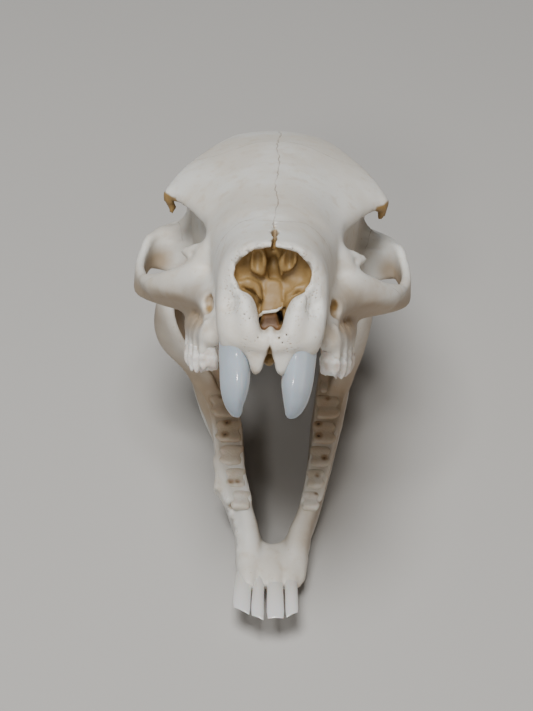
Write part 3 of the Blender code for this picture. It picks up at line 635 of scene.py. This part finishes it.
def roughen_rim(s):
    """Porous bone round the front edge of the nose and on the premaxillae, with small vessel holes."""
    s.tint_sides("porous", [(2, 3.2, 20.4, 1), (4.6, 3.6, 19.2, 1.2), (6.6, 4.4, 16.8, 1.3),
                            (7.2, 4.2, 13.6, 1.4), (6.6, 2.6, 10.8, 2)], 1.6)
    s.roughen(0.45, 0.24, 31, "porous")
    s.tint_sides("porous", [(4.4, 3.2, 11, 1.4), (3.9, 2.2, 8.6, 1.6), (3.2, 1.2, 5, 1.6)], 1.6)
    for x, z in ((-1.9, 5.7), (1.4, 5.8), (1.9, 5.2), (3.3, 5.9), (-3, 6.6), (2.6, 6.4), (-4.2, 9.4),
                 (-3.4, 8.8)):
        pin = ball((x, 0.6, z), (0.17, 1.6, 0.17))
        s.cut(pin, 0.1)
        # painted shade: the inside of each vessel hole is painted near black
        s.tint("hole_shade", pin, 0.25)


def shade_left_cheek(s):
    """Painted warm shade that makes the skull's left cheek browner than the right one."""
    s.tint("warm_stain_and_shade", bar((10, 12, 9.5, 0.8), (12, 22, 9, 2), (17.5, 34, 6.5, 2.6),
                       (22.5, 46, 5.5, 2.2)), 7)


def seam_marks(points):
    """For each suture, the signed distance across it and how far past its ends each point lies."""
    x, y, z = points.T
    side = np.abs(x)
    middle = x - 0.25 * np.sin(y / 3.1)
    nasal = y - spline(side, [(0, 15.8), (2.5, 16.4), (5, 18.6), (8, 19.4), (11, 22.5), (13, 26)])
    crown = y - spline(side, [(0, 56.5), (4, 56), (9, 54), (14, 55), (17, 58), (19, 62)])
    front = y - spline(z, [(1, 6.2), (5, 6.6), (9, 7.4), (13, 9.6), (16, 13), (18.5, 17), (21, 21)])
    cheek = y - spline(z, [(0, 43.5), (4, 42), (8, 36.5), (11, 33)])
    temple = z - spline(y, [(50, 9), (58, 9.4), (64, 15), (72, 17.5), (80, 16.5), (88, 15)])
    seams = ((middle, np.maximum(12.5 - y, 14.0 - z)), (nasal, np.maximum(side - 12.5, 15.5 - z)),
             (crown, 12.0 - z), (front, np.maximum(6.4 - side, z - 19)), (cheek, 18.5 - side),
             (temple, np.maximum(63.0 - y, 12.5 - side)))
    for k, (across, past) in enumerate(seams):
        yield f"seam_{k}", across
        yield f"seam_{k}_off", past


def cranium_shape():
    s = Grown(stops((0, 0.28), (7.5, 0.3), (12, 0.46), (29, 0.65)),
              stops((-3, 0.26), (9, 0.3), (16, 0.46), (36, 0.7), (96, 0.85)),
              stops((-7, 0.5), (1, 0.38), (5, 0.32), (20, 0.32), (25, 0.5), (36, 0.7)))
    add_snout(s)
    add_forehead(s)
    add_brain_case(s)
    add_cheek_arch(s)
    add_base(s)
    cut_face(s)
    stain_and_shade_face(s)
    s.soften()
    s.whole()
    fill_nose(s)
    floor_nose(s)
    split_nasals(s)
    roughen_rim(s)
    shade_left_cheek(s)
    s.roughen(7, 0.05, 3)
    return s


# mandible

def add_jaw_body(s):
    s.add(loft((2.2, -12.9, -10.7, 5.4), (5, -14.2, -10.8, 5.9), (9, -16.6, -11.5, 6.4),
               (13, -18.2, -13.4, 6.9)), 1.2)
    s.add(loft((4.2, -14, -11.3, 1.7, 4.1), (7, -15.8, -10.7, 2.1, 4.1), (11, -17.9, -10, 2.2, 4.65),
               (14, -19.2, -9.5, 2.2, 5.3), (18, -20.4, -8.15, 2.05, 6.75), (24, -21.2, -7.65, 2.25, 8.15),
               (30, -22.2, -7.55, 2.5, 9.3), (36, -23.6, -7.45, 2.9, 10.3), (43, -25.2, -7.35, 3.2, 11.5),
               (53, -26.5, -7.25, 3.1, 13.2), (59, -25.6, -9.6, 1.9, 14), (64, -23.6, -13.4, 0.7, 14.6),
               power=2.8), 1.6)
    s.add(bar((0, 11, -13.6, 1.7), (-0.2, 6, -12, 1.4), (-0.5, 2, -10.5, 0.7)), 1.4)
    for edge in (-1, 1):
        rim = [(cx + edge * (half - 0.1), cy, cz + LOWER_CROWN - 0.65, 0.62)
               for _, cx, cy, cz, half, _ in LOWER_ROW]
        s.add(bar(*rim), 1)
    gap = [(-2, 11.4), (0, 11.8), (1.4, 12.8), (2.9, 15.2), (4.5, 18.2), (5.9, 23.9), (6.8, 30.7),
           (7.3, 37), (8.2, 46), (9, 58), (-2, 58)]
    s.cut(sheet(2, gap, -16, 30), 1.4)


def add_jaw_branch(s):
    side = [(38, -16), (40, -9.5), (43, -3.5), (46, 1.5), (49, 6), (51.8, 9.6), (54.2, 11.6), (56, 10.6),
            (57.8, 8.4), (60, 8.2), (62, 8.8), (63.4, 7), (65, 3.4), (68, -1), (72, -6.4), (74.6, -12.4),
            (73.4, -19), (69, -25), (62, -28.4), (54, -28.6), (46, -26.6), (39, -24.2)]

    def lean(y, z):
        top = spline(y, [(38, 10.8), (43, 12.6), (47, 14.8), (51, 16.6), (56, 17.8), (62, 18), (70, 17.2),
                         (76, 16.6)])
        low = spline(y, [(38, 10), (46, 10.6), (50, 11), (54, 11.6), (58, 12.6), (62, 13.8), (68, 15.4),
                         (76, 16.4)])
        lift = spline(z, [(-28, 0), (-20, 0.3), (-10, 0.85), (-4, 1), (12, 1)])
        return low + (top - low) * lift

    s.add(sheet(0, side, lean, 2.2), 1)
    s.add(bar((11.2, 38, -13, 2.3), (12.8, 43.6, -9.5, 2.1), (15.6, 48.1, -2.7, 2), (16.9, 51.5, 3, 1.8),
              (17.9, 54.2, 9.6, 1.1)), 1.6)
    s.add(bar((10, 44, -24.2, 1.7), (11, 50, -26.2, 1.6), (12, 55, -26.9, 1.5), (13.8, 62, -26.6, 1.4),
              (15.8, 69, -23.2, 1.3), (16.6, 73, -16, 1.2)), 1.4)
    s.add(bar((15, HINGE.y, HINGE.z, 1.85), (21.2, HINGE.y, HINGE.z, 1.85)), 0.9)


def sway(points):
    """How far the right half of the mandible bows from the mirror of the left, in X."""
    x, y, z = points.T
    outer = spline(y, [(6, 0), (12, 0.5), (16, 0.8), (22, 0.9), (27, 1), (32, 1.5), (38, 1.5),
                       (42.5, 0.5), (47, 0), (80, 0)])
    inner = spline(y, [(8, 0.2), (14, 1), (18, 1.6), (24, 1.6), (31, 2.3), (37, 2.2), (46, 0.6),
                       (56, 0), (80, 0)])
    across = np.clip((np.abs(x) - 6) / 6, 0, 1)
    dx = inner + (outer - inner) * across
    blade = spline(y, [(43, 0), (46, -2.2), (49, -3.6), (52, -3.6), (55, -2.6), (58, -1), (61, 0),
                       (80, 0)])
    flare = spline(y, [(30, 0), (38, 0.8), (44, 1), (54, 1), (62, 0), (80, 0)])
    dx = dx + 0.14 * np.maximum(-11.5 - z, 0) * flare
    dx = dx + blade * spline(z, [(-9, 0), (-6, 0.4), (-3, 0.9), (0, 1), (4, 0.9), (12, 0.5)])
    return np.where(x < 0, dx * np.clip(-x / 3, 0, 1), 0)


def under_floor():
    """What lies under the floor, in the jaw's frame, so that the mandible rests on flats."""
    up = JAW.to_3x3().transposed() @ Vector((0, 0, 1))
    up.normalize()
    start = HINGE - up * HINGE_AT_REST.z

    def distance(x, y, z):
        return (x - start.x) * up.x + (y - start.y) * up.y + (z - start.z) * up.z

    return distance, (-30, -30, -60), (30, 90, 0)


def add_incisor_roots(s):
    for _, gum, _, _ in LOWER_INCISORS:
        x, half = (gum[0] + gum[1]) / 2, (gum[1] - gum[0]) / 2
        s.add(bar((x, 8, -12.6, half), (x, 4.6, -11.5, half * 0.9), (x, 2.4, -10.9, half * 0.75)), 0.8)


def roughen_right_edge(s):
    """A rough lip and smaller lumps in front of it, on the outer edge of the right bar alone."""
    lip = sheet(2, [(-11.9, 27.6), (-10, 27.2), (-9.4, 24), (-9.6, 21.2), (-8.8, 18.2), (-9.7, 17.8),
                    (-11, 20.6), (-11.6, 21), (-11.5, 24)], -9.4, 3.2)
    s.add(lip, 0.6)
    s.tint("porous", lip, 1)
    for x, y, z, size in ((-8.5, 16.8, -10.6, 0.7), (-7.5, 15, -11.2, 0.55), (-6.9, 13.2, -11.4, 0.7),
                          (-6.5, 11.6, -12, 0.5), (-6.2, 10, -12.2, 0.6)):
        lump = ball((x, y, z), (size, size * 1.3, 1.1))
        s.add(lump, 0.7)
        s.tint("porous", lump, 1)
    s.roughen(1.2, 0.2, 17, "porous")


def stain_and_shade_jaw(s):
    """Browner bone towards the back, further forward on the left bar, partly warm stain and partly painted
    shade where the cranium shades the jaw.
    """
    s.tint_sides("warm_stain_and_shade", [(9, 26, -10, 2), (10.5, 36, -10, 5), (14, 48, -8, 7),
                          (16, 56, 0, 8)], 7)
    s.tint_sides("warm_stain_and_shade", [(5, 14, -12, 0.5), (7.5, 22, -11, 1.8), (9.5, 32, -11, 4)], 7)
    s.tint("warm_stain_and_shade", bar((5.8, 12, -12, 1.2), (7.5, 17, -11.5, 2.4), (9.5, 24, -11, 3.2),
                       (11, 34, -11, 4.5)), 7)


def mandible_shape():
    s = Grown(stops((0, 0.32), (24, 0.4)),
              stops((-2, 0.3), (20, 0.34), (50, 0.44), (79, 0.55)),
              stops((-32, 0.42), (-14, 0.32), (-4, 0.34), (15, 0.45)))
    add_jaw_body(s)
    add_jaw_branch(s)
    s.cut(ball((8, 10.5, -14.2), (1.6, 1.1, 0.9)), 0.4)
    s.soften()
    s.whole()
    s.soften()
    add_incisor_roots(s)
    roughen_right_edge(s)
    stain_and_shade_jaw(s)
    s.roughen(6, 0.06, 13)
    s.roughen(2, 0.03, 15)
    s.cut(under_floor(), 0.1)
    return s


# teeth

def tooth_grid(half, reach, crown):
    """A small grid with the axes of one tooth: outward, backward and towards the chewing face."""
    step = TOOTH_STEP * COARSE
    s = Grown(np.arange(-half - 0.6, half + 0.6 + step, step),
              np.arange(-reach - 0.5, reach + 0.5 + step, step),
              np.arange(-ROOT_DEPTH - 0.6, crown + 0.6, step))
    return s, [axis.reshape(shape) for axis, shape in zip(s.axes, ((-1, 1, 1), (1, -1, 1), (1, 1, -1)))]


def tooth_body(spots, outline, inset, top):
    """A crown with its root, between an outline drawn in by an inset and the chewing face."""
    out, back, up = spots
    wall = np.maximum(outline_distance(out, back, outline) + inset, -ROOT_DEPTH - up)
    return -smooth_min(-wall, -top, 0.6)


def upper_tooth(name, side, row):
    """A crown with a W-shaped outer wall, two cross ridges and valleys between them, on a root."""
    kind, cx, cy, cz, half, length = row
    reach = length / 2 - TOOTH_GAP / 2
    s, spots = tooth_grid(half, reach, UPPER_CROWN)
    out, back, up = spots
    outline = rounded([(-0.6, -0.98), (0.88, -0.92), (0.84, -0.45), (0.94, 0), (0.84, 0.45), (0.9, 0.92),
                       (-0.6, 0.98), (-0.98, 0.56), (-0.8, 0.02), (-0.98, -0.56)]) * (half, reach)
    inset = 0.02 + 0.25 * np.clip(-up, -0.2, 1) + 0.1 * np.clip(up - 1.2, 0, 9)
    u, v = out / half, back / reach
    lobes = 1 if kind == "p1" else 2
    cusp = np.cos(v * lobes * math.pi)
    wall = np.exp(-((u - 0.55 - 0.14 * cusp) / 0.24) ** 2) * (0.74 + 0.26 * cusp)
    inner = 0.62 * np.exp(-((u + 0.45) / 0.3) ** 2 - ((v + 0.3) / 0.34) ** 2)
    first = (0.52 + 0.16 * u) * np.exp(-((v + 0.5 - 0.14 * u) / 0.22) ** 2)
    second = (0.46 + 0.16 * u) * np.exp(-((v - 0.42 - 0.14 * u) / 0.22) ** 2)
    ridge = np.maximum(np.maximum(wall, inner), np.maximum(first, second))
    top = up - UPPER_CROWN + (1.0 - ridge) * UPPER_CROWN * 0.48
    s.field = tooth_body(spots, outline, inset, top).astype(np.float32)
    s.roughen(0.9, 0.12, int(cy * 7) + side)
    return s.piece(name, HEAD, standing(side, cx, cy, cz, 1))


def lower_tooth(name, side, row):
    """A low worn crown of two lobes, with small pits in its chewing face."""
    _, cx, cy, cz, half, length = row
    reach = length / 2 - TOOTH_GAP / 2
    s, spots = tooth_grid(half, reach, LOWER_CROWN)
    out, back, up = spots
    outline = rounded([(-0.8, -0.98), (0.55, -0.98), (0.96, -0.62), (0.98, -0.3), (0.8, -0.02),
                       (0.98, 0.3), (0.96, 0.64), (0.55, 0.98), (-0.8, 0.98), (-0.98, 0.4),
                       (-0.86, 0), (-0.98, -0.42)]) * (half, reach)
    inset = 0.05 + 0.1 * np.clip(up, 0, 9) + 0.35 * np.clip(1.0 - up, 0, 3)
    top = up - LOWER_CROWN + 0.1 + 0.05 * np.cos(back / reach * 2 * math.pi) + 0.05 * (out / half) ** 2
    solid = tooth_body(spots, outline, inset, top)
    for x, y, size in LOWER_PITS[side]:
        if abs(y - cy) < reach:
            centre = (x - cx, y - cy, LOWER_CROWN)
            pit = ball(centre, (size, size, 0.3))
            solid = -smooth_min(-solid, pit[0](*spots), 0.1)
            s.tint("stain", ball(centre, (size * 2.2, size * 2.2, 6)), 1.2)
    s.field = solid.astype(np.float32)
    return s.piece(name, JAW, standing(side, cx, cy, cz, -1), sway)


def standing(side, cx, cy, cz, down):
    """From a tooth's own axes to the head's frame."""
    return Matrix(((side, 0, 0, side * cx), (0, 1, 0, cy), (0, 0, -down, cz), (0, 0, 0, 1)))


def ringed(name, rings, place):
    """A closed tooth through rings of points from its root to its tip."""
    count = len(rings[0])
    faces = [tuple(range(count)), tuple(range((len(rings) - 1) * count, len(rings) * count))]
    for i in range(len(rings) - 1):
        for k in range(count):
            n = (k + 1) % count
            faces.append((i * count + k, i * count + n, (i + 1) * count + n, (i + 1) * count + k))
    mesh = bpy.data.meshes.new(name)
    mesh.from_pydata([point for ring in rings for point in ring], [], faces)
    give(mesh, "along", np.repeat(np.linspace(0, 1, len(rings)), count))
    mesh.transform(place)
    shell = bmesh.new()
    shell.from_mesh(mesh)
    bmesh.ops.recalc_face_normals(shell, faces=shell.faces)
    shell.to_mesh(mesh)
    shell.free()
    mesh.shade_smooth()
    return add_object(name, mesh)


def upper_incisor(name, side):
    """A tusk along a path of (x, y, z, radius), ridged in front and flat behind."""
    right = [(5.75, 3.4, 4.8, 2.35), (5.75, 3.3, 2.6, 2.35), (5.5, 2.5, 0, 2.36), (5.4, 2.1, -2.4, 2.28),
             (5.42, 2.1, -4.4, 1.95), (5.35, 2.3, -6.2, 1.4), (5.1, 2.6, -7.3, 1), (4.95, 2.8, -7.9, 0.6)]
    left = [(5, 3.4, 4.8, 2.45), (5, 3.3, 2.6, 2.45), (4.85, 2.5, 0, 2.42), (4.66, 2.1, -2.4, 2.36),
            (4.56, 2.1, -4.8, 1.92), (4.32, 2.4, -6.6, 1.36), (4.12, 2.7, -7.3, 1.04), (4.04, 2.8, -7.7, 0.7)]
    stations = left if side > 0 else right
    section = rounded([(-1, 0.95), (-1.06, 0.1), (-0.85, -0.62), (-0.35, -1.06), (0.38, -0.82),
                       (0.95, -0.12), (1.05, 0.5), (0.95, 1), (0, 1.15)], 6)
    knots = np.linspace(0, 1, len(stations))
    at = np.linspace(0, 1, 40)
    path = [spline(at, list(zip(knots, values))) for values in zip(*stations)]
    rings = [[(side * (x + a * r), y + b * r, z) for a, b in section] for x, y, z, r in zip(*path)]
    return ringed(name, rings, HEAD)


def lower_incisor(name, gum, tip, tip_y):
    """A flat spade that lies forward and curves up, between its edges at the gum and at the tip."""
    section = rounded([(-1, 0), (-0.88, 0.62), (-0.5, 0.92), (0, 1), (0.5, 0.92), (0.88, 0.62),
                       (1, 0), (0.88, -0.7), (0, -1), (-0.88, -0.7)], 5)
    root_y = 8.0
    rings = []
    for t in np.linspace(0, 1, 36):
        out = math.sin(t * math.pi / 2) ** 0.9
        left, right = (gum[k] + (tip[k] - gum[k]) * out for k in (0, 1))
        thick = (1.15 - 0.84 * t) * math.sqrt(max(1.0 - t ** 16, 0.03))
        narrow = 0.94 + 0.06 * min(t / 0.45, 1) - 0.12 * max(t - 0.88, 0) / 0.12
        ring = []
        for a, b in section:
            x = (left + right) / 2 + (right - left) / 2 * a * narrow
            y = root_y + (tip_y[0] + (tip_y[1] - tip_y[0]) * (a + 1) / 2 - root_y) * t
            arch = 0.5 * (1 - a * a) * (1 - 0.5 * t)
            ring.append((x, y, -9.1 - 0.37 * y - thick + b * thick + arch - 1.2 * (1 - t) ** 3))
        rings.append(ring)
    return ringed(name, rings, JAW)


# materials

def new_material(name):
    material = bpy.data.materials.new(name)
    material.use_nodes = True
    tree = material.node_tree
    return material, tree, tree.nodes["Principled BSDF"]


def fill(tree, node, inputs):
    """Join sockets to a node's inputs and set plain values on the others."""
    for key, value in inputs.items():
        if isinstance(value, bpy.types.NodeSocket):
            tree.links.new(value, node.inputs[key])
        else:
            node.inputs[key].default_value = value


def add_node(tree, kind, inputs, **settings):
    node = tree.nodes.new(kind)
    for key, value in settings.items():
        setattr(node, key, value)
    fill(tree, node, inputs)
    return node


def calc(tree, operation, *values):
    return add_node(tree, 'ShaderNodeMath', dict(enumerate(values)), operation=operation).outputs[0]


def coats(tree, colour, *layers):
    """Blend (share, colour) layers over a colour, one after the other."""
    for share, layer in layers:
        mix = add_node(tree, 'ShaderNodeMix', {0: share, 6: colour, 7: layer}, data_type='RGBA')
        colour = mix.outputs[2]
    return colour


def read(tree, mark):
    return add_node(tree, 'ShaderNodeAttribute', {}, attribute_name=mark).outputs["Fac"]


def here(tree):
    """Where a point lies in its piece's own axes, in metres."""
    return add_node(tree, 'ShaderNodeTexCoord', {}).outputs["Object"]


def grain(tree, scale, detail=3.0, spot=None):
    """Noise from 0 to 1 fixed to the piece, with a scale in bumps per millimetre."""
    vector = here(tree) if spot is None else spot
    inputs = {"Vector": vector, "Scale": scale / MM, "Detail": detail}
    return add_node(tree, 'ShaderNodeTexNoise', inputs).outputs["Fac"]


def ramp(tree, value, low, high):
    """0 below low, 1 above high and smooth between."""
    inputs = {"Value": value, "From Min": low, "From Max": high}
    return add_node(tree, 'ShaderNodeMapRange', inputs, interpolation_type='SMOOTHSTEP').outputs[0]


def wavy(tree, mark, scale, amount):
    """A mark pushed up and down by noise."""
    shake = calc(tree, 'MULTIPLY', calc(tree, 'SUBTRACT', grain(tree, scale, 4.0), 0.5), amount)
    return calc(tree, 'ADD', read(tree, mark), shake)


def seam_lines(tree, width):
    """Thin wiggly lines where a seam's signed distance passes zero, 1 on the line."""
    total = 0.0
    for k in range(SUTURES):
        away = calc(tree, 'ABSOLUTE', wavy(tree, f"seam_{k}", 0.55, 1.0))
        line = ramp(tree, away, width, width * 0.2)
        near = ramp(tree, read(tree, f"seam_{k}_off"), 0.4, -0.4)
        total = calc(tree, 'MAXIMUM', total, calc(tree, 'MULTIPLY', line, near))
    faint = ramp(tree, grain(tree, 0.18, 2.0), 0.36, 0.6)
    return calc(tree, 'MULTIPLY', total, calc(tree, 'MULTIPLY_ADD', faint, 0.7, 0.3))


def pits(tree, scale, size):
    """Small round pits, 1 in the middle of each."""
    inputs = {"Vector": here(tree), "Scale": scale / MM, "Randomness": 1.0}
    cells = add_node(tree, 'ShaderNodeTexVoronoi', inputs)
    return ramp(tree, cells.outputs["Distance"], size, size * 0.35)


def relief(tree, height, depth, strength):
    """A bump with a depth in millimetres."""
    inputs = {"Strength": strength, "Distance": depth * MM, "Height": height}
    return add_node(tree, 'ShaderNodeBump', inputs).outputs[0]


def between(tree, scale, low, high):
    """Values that wander from low to high over the piece."""
    inputs = {"Value": grain(tree, scale), "To Min": low, "To Max": high}
    return add_node(tree, 'ShaderNodeMapRange', inputs).outputs[0]


def bone(name, with_seams):
    """Chalky bone with pores, stains where the shape has tints, painted shade in its hollows and inside
    holes, and warm colour that is partly stain and partly painted shade.
    """
    material, tree, shader = new_material(name)
    chalk = (0.72, 0.715, 0.68, 1)
    ivory = (0.645, 0.61, 0.545, 1)
    straw = (0.5, 0.385, 0.25, 1)
    tan = (0.27, 0.17, 0.062, 1)
    rust = (0.13, 0.062, 0.022, 1)
    fawn_stain_and_shade = (0.31, 0.22, 0.13, 1)
    umber = (0.035, 0.022, 0.012, 1)
    seam_brown = (0.27, 0.2, 0.14, 1)
    aged = ramp(tree, grain(tree, 0.07), 0.38, 0.62)
    mottle = calc(tree, 'MULTIPLY', ramp(tree, grain(tree, 0.45, 5.0), 0.5, 0.74), 0.3)
    # warm colour, partly stain and partly painted shade on sides and undersides turned away from the light
    warm_stain_and_shade = calc(tree, 'MULTIPLY', ramp(tree, wavy(tree, "warm_stain_and_shade", 0.12, 0.7), 0.1, 1.0), 0.85)
    # painted shade: straw darkening where the surface lies deep in a hollow
    hollow_shade = calc(tree, 'MULTIPLY', ramp(tree, wavy(tree, "shade_depth", 0.5, 0.3), 0.3, 0.95), 0.7)
    inside = ramp(tree, wavy(tree, "tan", 0.9, 0.25), 0.25, 0.75)
    holes = calc(tree, 'MULTIPLY', pits(tree, 1.7, 0.34), ramp(tree, read(tree, "porous"), 0.15, 0.6))
    pores = calc(tree, 'MULTIPLY', pits(tree, 0.42, 0.085), 0.5)
    # painted shade: holes painted near black inside
    hole_shade = ramp(tree, read(tree, "hole_shade"), 0.2, 0.8)
    colour = coats(tree, chalk, (aged, ivory), (mottle, straw), (warm_stain_and_shade, fawn_stain_and_shade), (hollow_shade, straw), (inside, tan),
                   (read(tree, "rust"), rust), (read(tree, "pale"), chalk),
                   (calc(tree, 'MULTIPLY', holes, 0.55), straw), (pores, straw), (hole_shade, umber))
    height = calc(tree, 'MULTIPLY_ADD', grain(tree, 2.0, 4.0), 0.5, calc(tree, 'MULTIPLY', holes, -1.2))
    height = calc(tree, 'SUBTRACT', height, pores)
    if with_seams:
        line = seam_lines(tree, 0.13)
        colour = coats(tree, colour, (calc(tree, 'MULTIPLY', line, 0.75), seam_brown))
        height = calc(tree, 'SUBTRACT', height, line)
    fill(tree, shader, {"Base Color": colour, "Normal": relief(tree, height, 0.16, 0.5),
                        "Roughness": between(tree, 0.8, 0.44, 0.62), "Subsurface Weight": 0.12,
                        "Subsurface Scale": 0.0015, "Subsurface Radius": (1.0, 0.7, 0.45)})
    return material


def enamel(name, low, high, roughness):
    """Smooth tooth surface with faint growth lines, a little light passing into it."""
    material, tree, shader = new_material(name)
    speck_brown = (0.45, 0.38, 0.28, 1)
    lower = ramp(tree, wavy(tree, "along", 0.3, 0.25), 0.3, 0.95)
    specks = calc(tree, 'MULTIPLY', pits(tree, 0.5, 0.07), 0.3)
    colour = coats(tree, high, (lower, low), (specks, speck_brown))
    stretch = add_node(tree, 'ShaderNodeMapping', {"Vector": here(tree), "Scale": (1.0, 0.12, 0.12)})
    lines = grain(tree, 2.6, spot=stretch.outputs[0])
    fill(tree, shader, {"Base Color": colour, "Normal": relief(tree, lines, 0.1, 0.12),
                        "Roughness": roughness, "Coat Weight": 0.6, "Coat Roughness": 0.06,
                        "Subsurface Weight": 0.25, "Subsurface Scale": 0.0012})
    return material


def tooth(name, pale, worn):
    """Chalky crown, browner towards the back of the mouth, partly stain and partly painted shade, with
    painted shade in its valleys and stains in its pits.
    """
    material, tree, shader = new_material(name)
    back_stain_and_shade_brown = (0.36, 0.26, 0.16, 1)
    straw = (0.42, 0.32, 0.21, 1)
    rust = (0.26, 0.17, 0.095, 1)
    umber = (0.07, 0.04, 0.022, 1)
    wear = ramp(tree, grain(tree, 0.5, 4.0), 0.38, 0.66)
    backward = add_node(tree, 'ShaderNodeSeparateXYZ', {0: here(tree)}).outputs["Y"]
    # browner towards the back, partly stain and partly painted shade where the cranium shades the rear teeth
    back_stain_and_shade = calc(tree, 'MULTIPLY', ramp(tree, backward, -25 * MM, -8 * MM), 0.75)
    # painted shade: straw darkening deep in the crown's valleys
    hollow_shade = calc(tree, 'MULTIPLY', ramp(tree, wavy(tree, "shade_depth", 1.2, 0.3), 0.4, 0.95), 0.5)
    stain = wavy(tree, "stain", 1.4, 0.3)
    colour = coats(tree, pale, (wear, worn), (back_stain_and_shade, back_stain_and_shade_brown), (hollow_shade, straw),
                   (ramp(tree, stain, 0.15, 0.85), rust), (ramp(tree, stain, 0.8, 1.0), umber))
    fill(tree, shader, {"Base Color": colour, "Normal": relief(tree, grain(tree, 2.6, 4.0), 0.15, 0.5),
                        "Roughness": between(tree, 1.4, 0.32, 0.55), "Subsurface Weight": 0.12,
                        "Subsurface Scale": 0.001})
    return material


# set

def floor():
    mesh = bpy.data.meshes.new("floor")
    size = 1.5
    corners = [(-size, -size, 0), (size, -size, 0), (size, size, 0), (-size, size, 0)]
    mesh.from_pydata(corners, [], [(0, 1, 2, 3)])
    obj = add_object("floor", mesh)
    material, tree, shader = new_material("floor")
    shade = (0.44, 0.43, 0.415, 1)
    light = (0.46, 0.45, 0.435, 1)
    fill(tree, shader, {"Base Color": coats(tree, shade, (grain(tree, 0.01), light)), "Roughness": 0.8})
    mesh.materials.append(material)


def lamp(name, place, size, watts, colour):
    """A round lamp turned to the middle of the skull."""
    light = bpy.data.lights.new(name, 'AREA')
    light.shape = 'DISK'
    light.size = size
    light.energy = watts
    light.color = colour
    obj = add_object(name, light)
    obj.location = place
    obj.rotation_euler = (MIDDLE - Vector(place)).to_track_quat('-Z', 'Y').to_euler()


def light_up():
    daylight = (1.0, 0.97, 0.93)
    lamp("key", (-0.09, -0.2, 0.77), 0.36, 7.6, (1.0, 0.995, 0.975))
    lamp("front", (-0.16, -0.64, 0.52), 0.12, 1.3, daylight)
    lamp("low", (-0.16, -0.6, 0.05), 0.05, 0.12, daylight)
    lamp("side", (0.6, -0.35, 0.16), 0.4, 0.45, (1.0, 0.72, 0.46))
    world = bpy.data.worlds.new("studio")
    bpy.context.scene.world = world
    world.use_nodes = True
    background = world.node_tree.nodes["Background"]
    background.inputs["Color"].default_value = (0.9, 0.92, 1.0, 1)
    background.inputs["Strength"].default_value = 0.05


def aim_camera():
    """The photograph's view: a little above the head's own level, with a slight roll."""
    tilt = math.radians(VIEW_TILT)
    ahead = Vector((0, math.cos(tilt), -math.sin(tilt)))
    above = Vector((0, math.sin(tilt), math.cos(tilt)))
    place = VIEW_CENTRE - ahead * VIEW_DISTANCE
    turn = Matrix((Vector((1, 0, 0)), above, -ahead)).transposed().to_4x4()
    camera = bpy.data.cameras.new("camera")
    camera.sensor_width = 36.0
    camera.lens = LENS
    camera.shift_x = SHIFT_X
    camera.clip_start = 0.01
    obj = add_object("camera", camera)
    roll = Matrix.Rotation(math.radians(VIEW_ROLL), 4, 'Z')
    world = HEAD @ Matrix.Translation(place) @ turn @ roll
    obj.matrix_world = Matrix.LocRotScale(world.to_translation(), world.to_quaternion(), None)
    bpy.context.scene.camera = obj


def dress(obj, node, material):
    """Put a piece in the place of its CAD node."""
    obj.data.materials.append(material)
    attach(obj, "root")
    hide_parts(node)


def main():
    tusk_look = enamel("tusk_enamel", (0.31, 0.39, 0.48, 1), (0.42, 0.48, 0.545, 1), 0.16)
    spade_look = enamel("spade_enamel", (0.7, 0.7, 0.7, 1), (0.66, 0.64, 0.595, 1), 0.3)
    upper_look = tooth("upper_tooth", (0.72, 0.715, 0.69, 1), (0.56, 0.5, 0.45, 1))
    lower_look = tooth("lower_tooth", (0.68, 0.655, 0.6, 1), (0.6, 0.55, 0.46, 1))
    skull = cranium_shape().piece("cranium_bone", HEAD, marks=seam_marks)
    dress(skull, "cranium", bone("skull_bone", True))
    jaw = mandible_shape().piece("mandible_bone", JAW, bend=sway)
    dress(jaw, "mandible", bone("jaw_bone", False))
    for side, tag in ((1, "left"), (-1, "right")):
        for row in UPPER_ROW:
            node = f"upper_{row[0]}_{tag}"
            dress(upper_tooth(f"{node}_crown", side, row), node, upper_look)
        for row in LOWER_ROW:
            node = f"lower_{row[0]}_{tag}"
            dress(lower_tooth(f"{node}_crown", side, row), node, lower_look)
        node = f"upper_incisor_{tag}"
        dress(upper_incisor(f"{node}_tusk", side), node, tusk_look)
    for node, gum, tip, tip_y in LOWER_INCISORS:
        dress(lower_incisor(f"{node}_spade", gum, tip, tip_y), node, spade_look)
    floor()
    light_up()
    aim_camera()


main()
